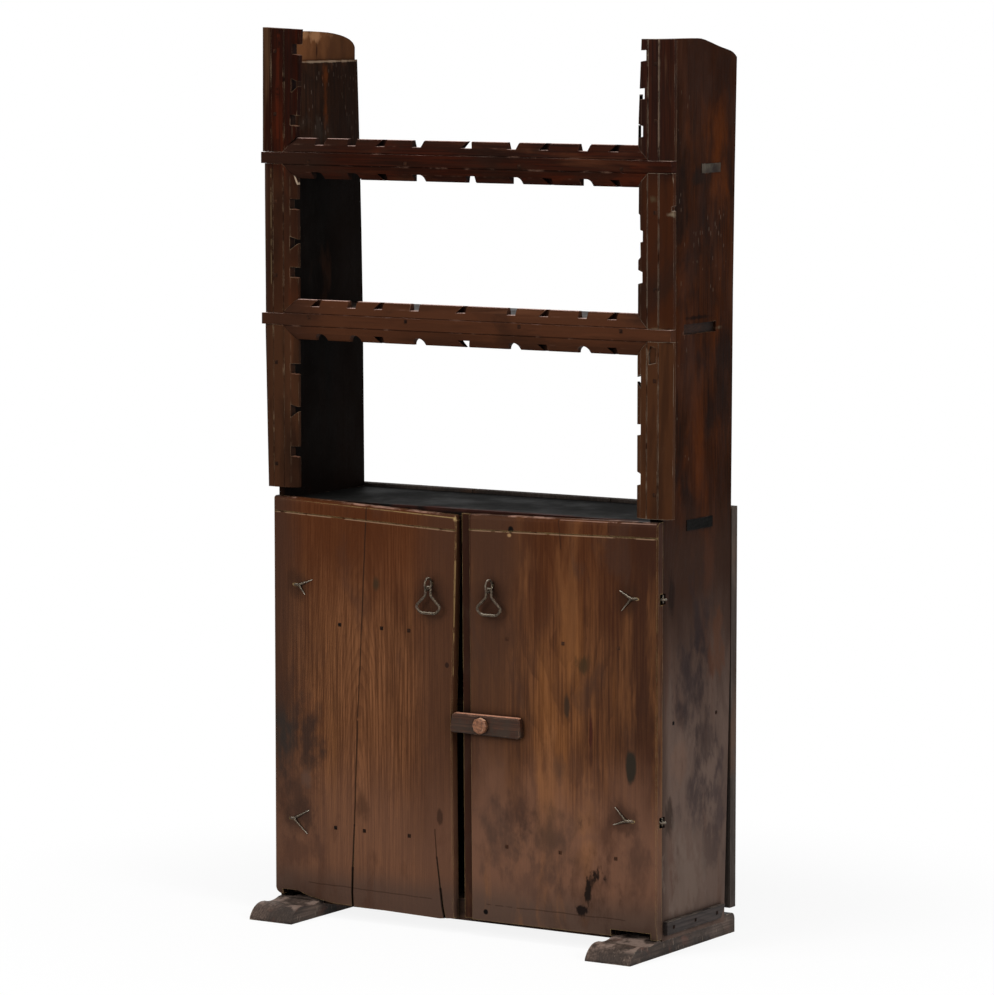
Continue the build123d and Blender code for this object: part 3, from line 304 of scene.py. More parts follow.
def make_wear_and_highlight() -> Effect:
    """Where hands and years have rubbed an arris pale, a pale that also stands in as a painted
    highlight along the arris.

    Returns:
        The effect.
    """
    effect = Effect("edge_wear_and_highlight", {
        "Vector": (0.0, 0.0, 0.0), "Reach": 0.003, "Breakup": 30.0, "Amount": 0.6,
    }, ("Mask", "Upward"))
    given = effect.given
    rounded = effect.add("ShaderNodeBevel", {"Radius": given["Reach"]}, samples=6).outputs[0]
    true = effect.add("ShaderNodeNewGeometry").outputs["True Normal"]
    agree = effect.add("ShaderNodeVectorMath", {0: rounded, 1: true}, operation="DOT_PRODUCT")
    edge = effect.ramp(agree.outputs["Value"], 0.975, 0.84, 0.0, 1.0)
    broken = effect.noise(given["Vector"], given["Breakup"], 4.0, 0.7)
    low = effect.math("SUBTRACT", 1.0, given["Amount"])
    shown = effect.ramp(broken, effect.math("SUBTRACT", low, 0.08), effect.math("ADD", low, 0.1))
    effect.give("Mask", effect.math("MULTIPLY", edge, shown))
    effect.give("Upward", effect.add("ShaderNodeSeparateXYZ", {0: rounded}).outputs["Z"])
    return effect


def make_blotches() -> Effect:
    """Uneven patches of age over a surface.

    Returns:
        The effect.
    """
    effect = Effect("age_blotches", {
        "Vector": (0.0, 0.0, 0.0), "Scale": 6.0, "Level": 0.55, "Softness": 0.12,
    }, ("Mask",))
    given = effect.given
    field_noise = effect.noise(given["Vector"], given["Scale"], 5.0, 0.6, 0.4)
    low = effect.math("SUBTRACT", given["Level"], given["Softness"])
    high = effect.math("ADD", given["Level"], given["Softness"])
    effect.give("Mask", effect.ramp(field_noise, low, high))
    return effect


def make_rubbed_top_highlight() -> Effect:
    """Where arrises and faces that look upward have been rubbed and bleached, and where they take a
    painted highlight from the light above.

    Returns:
        The effect.
    """
    effect = Effect("rubbed_top_highlight", {
        "Vector": (0.0, 0.0, 0.0), "Upward": 0.0, "Breakup": 26.0, "Amount": 0.6,
    }, ("Mask",))
    given = effect.given
    broken = effect.noise(given["Vector"], given["Breakup"], 4.0, 0.65)
    low = effect.math("SUBTRACT", 1.0, given["Amount"])
    shown = effect.ramp(broken, effect.math("SUBTRACT", low, 0.07), effect.math("ADD", low, 0.07))
    effect.give("Mask", effect.math("MULTIPLY", effect.ramp(given["Upward"], 0.74, 0.92), shown))
    return effect


def make_spot() -> Effect:
    """One stain, knot or bruise with ragged borders.

    Returns:
        The effect.
    """
    effect = Effect("local_spot", {
        "Vector": (0.0, 0.0, 0.0), "Centre": (0.0, 0.0, 0.0), "Reach": (0.01, 0.01, 0.02),
        "Raggedness": 0.35, "Field": 0.5, "Softness": 0.6,
    }, ("Mask",))
    given = effect.given
    apart = effect.vector("DIVIDE", effect.vector("SUBTRACT", given["Vector"], given["Centre"]),
                          given["Reach"])
    ragged = effect.math("MULTIPLY", effect.math("SUBTRACT", given["Field"], 0.5), given["Raggedness"])
    distance = effect.math("ADD", effect.length(apart), effect.math("MULTIPLY", ragged, 3.0))
    inner = effect.math("SUBTRACT", 1.0, given["Softness"])
    outer = effect.math("ADD", 1.0, effect.math("MULTIPLY", given["Softness"], 0.5))
    effect.give("Mask", effect.ramp(distance, inner, outer, 1.0, 0.0))
    return effect


def make_drawn_line() -> Effect:
    """A crack, the painted shade of a split, or a painted highlight along an arris, that wanders across
    a front from one place to another.

    Returns:
        The effect.
    """
    effect = Effect("drawn_line", {
        "Vector": (0.0, 0.0, 0.0), "Start": (0.0, 0.0, 1.0), "End": (0.0, 0.0, 0.0),
        "Width": 0.001, "Wander": 0.003, "Broken": 0.0, "Depth": 0.003,
    }, ("Mask",))
    given = effect.given
    start, end, here = (effect.vector("MULTIPLY", given[key], (1.0, 0.0, 1.0))
                        for key in ("Start", "End", "Vector"))
    line = effect.vector("SUBTRACT", end, start)
    apart = effect.vector("SUBTRACT", here, start)
    long = effect.length(line)
    dot = effect.add("ShaderNodeVectorMath", {0: apart, 1: line}, operation="DOT_PRODUCT")
    share = effect.math("DIVIDE", dot.outputs["Value"], effect.math("MULTIPLY", long, long))
    cross = effect.add("ShaderNodeSeparateXYZ", {0: effect.vector("CROSS_PRODUCT", line, apart)})
    off = effect.math("DIVIDE", cross.outputs["Y"], long)
    sway = effect.math("MULTIPLY", effect.math("SUBTRACT", effect.noise(here, 22.0, 3.0), 0.5),
                       given["Wander"])
    off = effect.math("ABSOLUTE", effect.math("ADD", off, sway))
    drawn = effect.ramp(off, effect.math("MULTIPLY", given["Width"], 0.4), given["Width"], 1.0, 0.0)
    begun, ended = effect.ramp(share, 0.0, 0.02), effect.ramp(share, 0.98, 1.0, 1.0, 0.0)
    length = effect.math("MULTIPLY", begun, ended)
    behind = effect.add("ShaderNodeSeparateXYZ", {0: effect.vector(
        "SUBTRACT", given["Vector"], given["Start"])}).outputs["Y"]
    near = effect.ramp(effect.math("ABSOLUTE", behind), effect.math("MULTIPLY", given["Depth"], 0.6),
                       given["Depth"], 1.0, 0.0)
    drawn = effect.math("MULTIPLY", drawn, near)
    broken = effect.noise(here, 24.0, 4.0, 0.7)
    shown = effect.ramp(broken, effect.math("SUBTRACT", given["Broken"], 0.08), given["Broken"])
    effect.give("Mask", effect.math("MULTIPLY", effect.math("MULTIPLY", drawn, length), shown))
    return effect


def make_dirt_and_shade() -> Effect:
    """Dark wax and dirt in the corners and under the mouldings, with painted shade: it darkens wherever
    ambient occlusion finds the surface closed in.

    Returns:
        The effect.
    """
    effect = Effect("corner_dirt_and_shade", {"Distance": 0.02, "Strength": 0.8}, ("Mask",))
    given = effect.given
    open_air = effect.add("ShaderNodeAmbientOcclusion", {"Distance": given["Distance"]}, samples=6)
    closed = effect.ramp(open_air.outputs["AO"], 0.35, 0.95, 1.0, 0.0)
    effect.give("Mask", effect.math("MULTIPLY", closed, given["Strength"]))
    return effect


def make_pricks() -> Effect:
    """Small marks in scattered groups: beetle holes, or flecks where they are drawn out.

    Returns:
        The effect.
    """
    effect = Effect("pricks", {
        "Vector": (0.0, 0.0, 0.0), "Spacing": 60.0, "Radius": 0.055, "Share": 0.3, "Length": 1.0,
    }, ("Mask",))
    given = effect.given
    squeeze = effect.math("DIVIDE", 1.0, given["Length"])
    scale = effect.add("ShaderNodeCombineXYZ", {"X": 1.0, "Y": 1.0, "Z": squeeze}).outputs[0]
    drawn = effect.vector("MULTIPLY", given["Vector"], scale)
    cells = effect.add("ShaderNodeTexVoronoi", {"Vector": drawn, "Scale": given["Spacing"]})
    hole = effect.math("LESS_THAN", cells.outputs["Distance"], given["Radius"])
    picked = effect.noise(given["Vector"], 7.0, 2.0)
    near = effect.math("GREATER_THAN", picked, effect.math("SUBTRACT", 1.0, given["Share"]))
    effect.give("Mask", effect.math("MULTIPLY", hole, near))
    return effect


def make_scratches() -> Effect:
    """Fine scores and rubs that cross the grain.

    Returns:
        The effect.
    """
    effect = Effect("scores", {"Vector": (0.0, 0.0, 0.0), "Scale": 18.0, "Amount": 0.5}, ("Mask",))
    given = effect.given
    total = None
    for turn, stretch in ((0.35, 14.0), (-0.5, 10.0)):
        turned = effect.add("ShaderNodeMapping", {
            "Vector": given["Vector"], "Rotation": (turn,) * 3, "Scale": (stretch, stretch, 3.0)})
        wave = effect.noise(turned.outputs[0], given["Scale"], 2.0, 0.5)
        crest = effect.math("ABSOLUTE", effect.math("SUBTRACT", wave, 0.5))
        line = effect.ramp(crest, 0.0, 0.008, 1.0, 0.0)
        total = line if total is None else effect.math("MAXIMUM", total, line)
    where = effect.ramp(effect.noise(given["Vector"], 16.0, 2.0), 0.6, 0.68)
    effect.give("Mask", effect.math("MULTIPLY", effect.math("MULTIPLY", total, where), given["Amount"]))
    return effect


@dataclass(frozen=True)
class Effects:
    """The shared effects, built once before any finish."""

    figure: Effect = field(default_factory=make_figure)
    wear_and_highlight: Effect = field(default_factory=make_wear_and_highlight)
    rubbed_top_highlight: Effect = field(default_factory=make_rubbed_top_highlight)
    drawn_line: Effect = field(default_factory=make_drawn_line)
    blotches: Effect = field(default_factory=make_blotches)
    spot: Effect = field(default_factory=make_spot)
    dirt_and_shade: Effect = field(default_factory=make_dirt_and_shade)
    pricks: Effect = field(default_factory=make_pricks)
    scratches: Effect = field(default_factory=make_scratches)


EFFECTS = Effects()


# ------------------------------------------------------------------ finishes
@dataclass(frozen=True)
class Stain:
    """A local mark on a board, in the frame's own coordinates."""

    centre: Point
    reach: Point
    colour: Colour
    strength: float = 0.8
    raggedness: float = 0.35
    softness: float = 0.6


@dataclass(frozen=True)
class Fade:
    """A change of colour that grows towards one end of a board."""

    axis: Axis
    start: float
    end: float
    colour: Colour
    strength: float = 0.7
    unevenness: float = 0.06


@dataclass(frozen=True)
class Patch:
    """A colour of age that comes and goes over a whole board."""

    colour: Colour
    scale: float
    level: float
    strength: float
    softness: float = 0.08
    drawn: float = 0.45
    shift: float = 0.0


@dataclass(frozen=True)
class Line:
    """A crack, the painted shade of a split, or a painted highlight along an arris, between two places
    on the front of a board.
    """

    start: Point
    end: Point
    colour: Colour
    width: float = 1.3 * MM
    strength: float = 0.85
    wander: float = 3.0 * MM
    broken: float = 0.0
    depth: float = 4.0 * MM


# Colour of dirt and painted shade in the corners and under the mouldings.
DIRT_AND_SHADE = paint(9, 6, 5)
BEETLE_HOLE = paint(7, 5, 4)
SCORE_COVER = 0.4       # how much of the wood's colour a score or a fleck hides
WEAR_AND_HIGHLIGHT_COVER = 0.85       # and how much a rubbed arris hides, its pale partly a painted highlight


@dataclass(frozen=True)
class WoodFinish:
    """Old waxed wood: figure, patches, stains, worn arrises with painted highlights, and dirt with
    painted shade in the corners.
    """

    name: str
    ground: Colour
    bright: Colour
    dark: Colour
    # Pale of scores, flecks and rubbed arrises; on the arrises it is partly a painted highlight.
    worn: Colour
    # Colour of rubbing and painted highlight on arrises and faces that look upward.
    top_rub_and_highlight: Colour
    grain: Grain = Grain.UPRIGHT
    pith: Point = (0.0, 0.09, 0.0)
    lean: Point = (0.02, 0.0, 0.0)
    rings: float = 170.0
    waviness: float = 0.05
    ring_depth: float = 0.35
    pores: float = 0.4
    streak: float = 0.5
    # The next three settings shape the rubbed arrises and upward faces, whose pale is partly a painted
    # highlight.
    wear_and_highlight: float = 0.42
    wear_and_highlight_reach: float = 0.0018
    top_rub_and_highlight_amount: float = 0.5
    worm: float = 0.2
    fleck: float = 0.0
    scratch: float = 0.35
    roughness: float = 0.42
    specular: float = 0.1
    relief: float = 0.25
    # Strength of the dirt and painted shade in corners and hollows.
    dirt_and_shade: float = 0.8
    patches: tuple[Patch, ...] = ()
    bloom: tuple[Patch, ...] = ()
    stains: tuple[Stain, ...] = ()
    fades: tuple[Fade, ...] = ()
    lines: tuple[Line, ...] = ()

    def build(self) -> bpy.types.Material:
        """Make the material.

        Returns:
            The finished node material.
        """
        material = bpy.data.materials.new(self.name)
        material.use_nodes = True
        tree = Tree(material.node_tree)
        shader = material.node_tree.nodes["Principled BSDF"]
        place = tree.add("ShaderNodeTexCoord").outputs["Object"]
        along = tree.add("ShaderNodeMapping", {
            "Vector": place, "Rotation": self.grain.value}).outputs[0]
        figure = EFFECTS.figure.place(tree, Vector=along, Pith=self.pith, Lean=self.lean,
                                      Rings=self.rings, Waviness=self.waviness)
        colour = self.wood_colour(tree, along, figure)
        colour = self.aged(tree, place, along, colour)
        holes = EFFECTS.pricks.place(tree, Vector=place, Share=self.worm)["Mask"]
        scores = EFFECTS.scratches.place(tree, Vector=along, Amount=self.scratch)["Mask"]
        worn = EFFECTS.wear_and_highlight.place(tree, Vector=along, Reach=self.wear_and_highlight_reach, Amount=self.wear_and_highlight)
        wear_and_highlight = worn["Mask"]
        top_rub_and_highlight = EFFECTS.rubbed_top_highlight.place(
            tree, Vector=place, Upward=worn["Upward"], Amount=self.top_rub_and_highlight_amount)["Mask"]
        # Dirt and painted shade, darkest where ambient occlusion finds corners and hollows.
        dirt_and_shade = EFFECTS.dirt_and_shade.place(tree, Strength=self.dirt_and_shade)["Mask"]
        colour = tree.mix(dirt_and_shade, colour, DIRT_AND_SHADE)
        colour = tree.mix(tree.math("MULTIPLY", scores, SCORE_COVER), colour, self.worn)
        # Rubbed arrises and upward faces, lightened partly as painted highlights.
        colour = tree.mix(tree.math("MULTIPLY", wear_and_highlight, WEAR_AND_HIGHLIGHT_COVER), colour, self.worn)
        colour = tree.mix(tree.math("MULTIPLY", top_rub_and_highlight, WEAR_AND_HIGHLIGHT_COVER), colour, self.top_rub_and_highlight)
        colour = tree.mix(holes, colour, BEETLE_HOLE)
        for line in self.lines:
            mask = EFFECTS.drawn_line.place(tree, Vector=place, Start=line.start, End=line.end,
                                            Width=line.width, Wander=line.wander, Broken=line.broken,
                                            Depth=line.depth)["Mask"]
            colour = tree.mix(tree.math("MULTIPLY", mask, line.strength), colour, line.colour)
        material.node_tree.links.new(colour, shader.inputs["Base Color"])
        shader.inputs["Specular IOR Level"].default_value = self.specular
        self.surface(tree, shader, place, figure, holes, scores, wear_and_highlight)
        return material

    def wood_colour(self, tree: Tree, along: Socket, figure: Sockets) -> Socket:
        """Colour of the bare figure.

        Args:
            tree: The material's tree.
            along: Coordinates turned so that the grain is upright.
            figure: Outputs of the figure effect.

        Returns:
            The colour.
        """
        fibre = tree.ramp(figure["Fibre"], 0.36, 0.66)
        colour = tree.mix(fibre, self.ground, self.bright)
        rings = tree.math("MULTIPLY", figure["Rings"], self.ring_depth)
        colour = tree.mix(rings, colour, self.dark)
        colour = tree.mix(tree.math("MULTIPLY", figure["Pores"], self.pores), colour, self.dark)
        drawn = tree.vector("MULTIPLY", along, (1.0, 1.0, 0.3))
        streak = EFFECTS.blotches.place(tree, Vector=drawn, Scale=14.0, Level=0.6,
                                        Softness=0.1)["Mask"]
        return tree.mix(tree.math("MULTIPLY", streak, self.streak), colour, self.dark)

    def aged(self, tree: Tree, place: Socket, along: Socket, colour: Socket) -> Socket:
        """Lay patches, flecks, fades, bloom and stains over the figure.

        Args:
            tree: The material's tree.
            place: Coordinates in the frame.
            along: The same, turned so that the grain is upright.
            colour: The colour so far.

        Returns:
            The new colour.
        """
        for patch in self.patches:
            colour = self.patched(tree, along, colour, patch)
        if self.fleck:
            flecks = EFFECTS.pricks.place(tree, Vector=place, Spacing=170.0, Radius=0.15,
                                          Share=self.fleck, Length=5.0)["Mask"]
            colour = tree.mix(tree.math("MULTIPLY", flecks, SCORE_COVER), colour, self.worn)
        for fade in self.fades:
            colour = self.faded(tree, place, along, colour, fade)
        for patch in self.bloom:
            colour = self.patched(tree, along, colour, patch)
        if self.stains:
            smeared = tree.vector("MULTIPLY", along, (1.0, 1.0, 0.5))
            ragged = tree.noise(smeared, 44.0, 4.0, 0.6)
        for stain in self.stains:
            mask = EFFECTS.spot.place(tree, Vector=place, Centre=stain.centre, Reach=stain.reach,
                                      Raggedness=stain.raggedness, Field=ragged,
                                      Softness=stain.softness)["Mask"]
            colour = tree.mix(tree.math("MULTIPLY", mask, stain.strength), colour, stain.colour)
        return colour

    def patched(self, tree: Tree, along: Socket, colour: Socket, patch: Patch) -> Socket:
        """Lay patches of one colour, drawn out along the grain, over the colour so far.

        Args:
            tree: The material's tree.
            along: Coordinates turned so that the grain is upright.
            colour: The colour so far.
            patch: What to lay over it.

        Returns:
            The new colour.
        """
        drawn = tree.add("ShaderNodeMapping", {
            "Vector": along, "Location": (patch.shift,) * 3,
            "Scale": (1.0, 1.0, patch.drawn)}).outputs[0]
        mask = EFFECTS.blotches.place(tree, Vector=drawn, Scale=patch.scale, Level=patch.level,
                                      Softness=patch.softness)["Mask"]
        return tree.mix(tree.math("MULTIPLY", mask, patch.strength), colour, patch.colour)

    def faded(self, tree: Tree, place: Socket, along: Socket, colour: Socket,
              fade: Fade) -> Socket:
        """Lay one fade over a colour.

        Args:
            tree: The material's tree.
            place: Coordinates in the frame.
            along: The same, turned so that the grain is upright.
            colour: The colour so far.
            fade: What to lay over it.

        Returns:
            The new colour.
        """
        split = tree.add("ShaderNodeSeparateXYZ", {0: place}).outputs[fade.axis.value]
        drawn = tree.vector("MULTIPLY", along, (1.0, 1.0, 0.35))
        shift = tree.math("MULTIPLY", tree.math("SUBTRACT", tree.noise(drawn, 16.0, 4.0), 0.5),
                          fade.unevenness * 2)
        share = tree.ramp(tree.math("ADD", split, shift), fade.start, fade.end)
        return tree.mix(tree.math("MULTIPLY", share, fade.strength), colour, fade.colour)

    def surface(self, tree: Tree, shader: bpy.types.Node, place: Socket, figure: Sockets,
                holes: Socket, scores: Socket, wear_and_highlight: Socket) -> None:
        """Roughness and relief of the wood.

        Args:
            tree: The material's tree.
            shader: The material's Principled shader.
            place: Coordinates in the frame.
            figure: Outputs of the figure effect.
            holes: Mask of the beetle holes.
            scores: Mask of the scratches.
            wear_and_highlight: Mask of the rubbed arrises, whose pale is partly a painted highlight.
        """
        links = tree.tree.links
        uneven = tree.noise(place, 11.0, 5.0, 0.6)
        rough = tree.ramp(uneven, 0.3, 0.7, self.roughness - 0.08, self.roughness + 0.14)
        rough = tree.math("ADD", rough, tree.math("MULTIPLY", figure["Fibre"], 0.08))
        rough = tree.math("SUBTRACT", rough, tree.math("MULTIPLY", wear_and_highlight, 0.06), clamp=True)
        links.new(rough, shader.inputs["Roughness"])
        planed = tree.noise(place, 26.0, 2.0)
        height = tree.math("MULTIPLY", planed, 2.4)
        height = tree.math("ADD", height, tree.math("MULTIPLY", figure["Fibre"], 0.5))
        height = tree.math("SUBTRACT", height, tree.math("MULTIPLY", figure["Rings"], 0.35))
        height = tree.math("SUBTRACT", height, tree.math("MULTIPLY", figure["Pores"], 0.3))
        height = tree.math("SUBTRACT", height, tree.math("MULTIPLY", scores, 0.4))
        height = tree.math("SUBTRACT", height, tree.math("MULTIPLY", holes, 3.0))
        bump = tree.add("ShaderNodeBump", {"Height": height, "Strength": self.relief, "Distance": MM})
        links.new(bump.outputs[0], shader.inputs["Normal"])


@dataclass(frozen=True)
class IronFinish:
    """Black forged iron, scaled, with rubbed high spots that carry painted highlights, and a little
    rust.
    """

    name: str
    scale_colour: Colour = paint(40, 33, 26)
    bare: Colour = paint(84, 72, 58)
    # Pale of rubbed iron, which also serves as a painted highlight on arrises and upper faces.
    rubbed: Colour = paint(205, 196, 178)
    rust: Colour = paint(58, 34, 21)
    metal: float = 0.8
    specular: float = 0.3
    # Rubbed arrises and upper faces, whose pale is partly a painted highlight.
    wear_and_highlight: float = 0.66
    top_rub_and_highlight_amount: float = 0.85
    wear_and_highlight_reach: float = 0.0018

    def build(self) -> bpy.types.Material:
        """Make the material.

        Returns:
            The finished node material.
        """
        material = bpy.data.materials.new(self.name)
        material.use_nodes = True
        tree = Tree(material.node_tree)
        shader = material.node_tree.nodes["Principled BSDF"]
        place = tree.add("ShaderNodeTexCoord").outputs["Object"]
        hammered = tree.noise(place, 260.0, 3.0)
        colour = tree.mix(tree.ramp(hammered, 0.3, 0.7), self.scale_colour, self.bare)
        rust = EFFECTS.blotches.place(tree, Vector=place, Scale=90.0, Level=0.58)["Mask"]
        colour = tree.mix(tree.math("MULTIPLY", rust, 0.6), colour, self.rust)
        worn = EFFECTS.wear_and_highlight.place(tree, Vector=place, Reach=self.wear_and_highlight_reach, Breakup=120.0,
                                  Amount=self.wear_and_highlight)
        top_rub_and_highlight = EFFECTS.rubbed_top_highlight.place(tree, Vector=place, Upward=worn["Upward"], Breakup=140.0,
                                       Amount=self.top_rub_and_highlight_amount)["Mask"]
        colour = tree.mix(tree.math("MAXIMUM", worn["Mask"], top_rub_and_highlight), colour, self.rubbed)
        links = material.node_tree.links
        links.new(colour, shader.inputs["Base Color"])
        shader.inputs["Specular IOR Level"].default_value = self.specular
        metal = tree.math("SUBTRACT", self.metal, tree.math("MULTIPLY", rust, 0.6), clamp=True)
        links.new(metal, shader.inputs["Metallic"])
        links.new(tree.ramp(hammered, 0.2, 0.8, 0.34, 0.55), shader.inputs["Roughness"])
        height = tree.math("ADD", hammered, tree.math("MULTIPLY", tree.noise(place, 900.0), 0.3))
        bump = tree.add("ShaderNodeBump", {"Height": height, "Strength": 0.5, "Distance": 0.4 * MM})
        links.new(bump.outputs[0], shader.inputs["Normal"])
        return material


FRONT = -0.097          # the doors' outer face
RACK_FRONT = -0.1       # about where the rack's mouldings face
MOULDING_DEPTH = 50 * MM


def mark(x: float, z: float, wide: float, high: float, colour: Colour, strength: float = 0.8,
         raggedness: float = 0.6, softness: float = 0.6) -> Stain:
    """A stain on the outer face of a door.

    Args:
        x: Place across.
        z: Height.
        wide: Half width.
        high: Half height.
        colour: Its colour.
        strength: How much it covers.
        raggedness: How uneven its border is.
        softness: How slowly it dies away.

    Returns:
        The stain.
    """
    return Stain((x, FRONT, z), (wide, 0.03, high), colour, strength, raggedness, softness)


def bruise(y: float, z: float, deep: float, high: float, colour: Colour, strength: float,
           raggedness: float, softness: float = 0.6) -> Stain:
    """A stain on the outer face of the right side.

    Args:
        y: Place from front to back.
        z: Height.
        deep: Half its reach from front to back.
        high: Half its height.
        colour: Its colour.
        strength: How much it covers.
        raggedness: How uneven its border is.
        softness: How slowly it dies away.

    Returns:
        The stain.
    """
    return Stain((0.4, y, z), (0.03, deep, high), colour, strength, raggedness, softness)


def seam(start: Place, end: Place, colour: Colour, width: float, *rest: float) -> Line:
    """A crack, the painted shade of a split, or a painted highlight along an arris, on the outer face
    of a door.

    Args:
        start: One end.
        end: The other end.
        colour: Its colour.
        width: Its width.
        *rest: Strength, wander, share that is missing and depth, as Line has them.

    Returns:
        The line.
    """
    return Line((start[0], FRONT, start[1]), (end[0], FRONT, end[1]), colour, width, *rest)


def highlight_lip(start: Place, end: Place, colour: Colour, width: float, strength: float, wander: float,
        broken: float) -> Line:
    """A painted highlight along a moulding of the rack, at whatever depth the moulding lies.

    Args:
        start: One end.
        end: The other end.
        colour: Its colour.
        width: Its width.
        strength: How much it covers.
        wander: How far it strays.
        broken: How much of it is missing.

    Returns:
        The line.
    """
    return Line((start[0], RACK_FRONT, start[1]), (end[0], RACK_FRONT, end[1]), colour, width,
                strength, wander, broken, MOULDING_DEPTH)


RACK_TONES = dict(
    worn=paint(112, 84, 70), pith=(0.0, -0.02, 0.0), rings=120.0, ring_depth=0.25, pores=0.25,
    wear_and_highlight=0.4, wear_and_highlight_reach=0.0014, top_rub_and_highlight_amount=0.6, specular=0.014, roughness=0.4, scratch=0.1)
SIDE_TONES = dict(
    worn=paint(112, 96, 84), top_rub_and_highlight=paint(96, 64, 42), pith=(0.3, 0.02, 0.0), rings=150.0,
    ring_depth=0.25, worm=0.3, fleck=0.4, wear_and_highlight=0.4, specular=0.008, scratch=0.1)
DOOR_TONES = dict(worn=paint(134, 112, 74), top_rub_and_highlight=paint(146, 112, 96), wear_and_highlight=0.58, top_rub_and_highlight_amount=0.46,
                  specular=0.03, roughness=0.4, streak=0.45, scratch=0.1)
# Pale line under the doors' roll: a painted glint along the quirk's lower edge.
QUIRK_LIP_GLINT = paint(128, 102, 80)
CRACK = paint(34, 20, 12)
# Near black for the splits, laid to their full depth: painted shade over the wedge walls.
SPLIT_SHADE = paint(18, 11, 8)
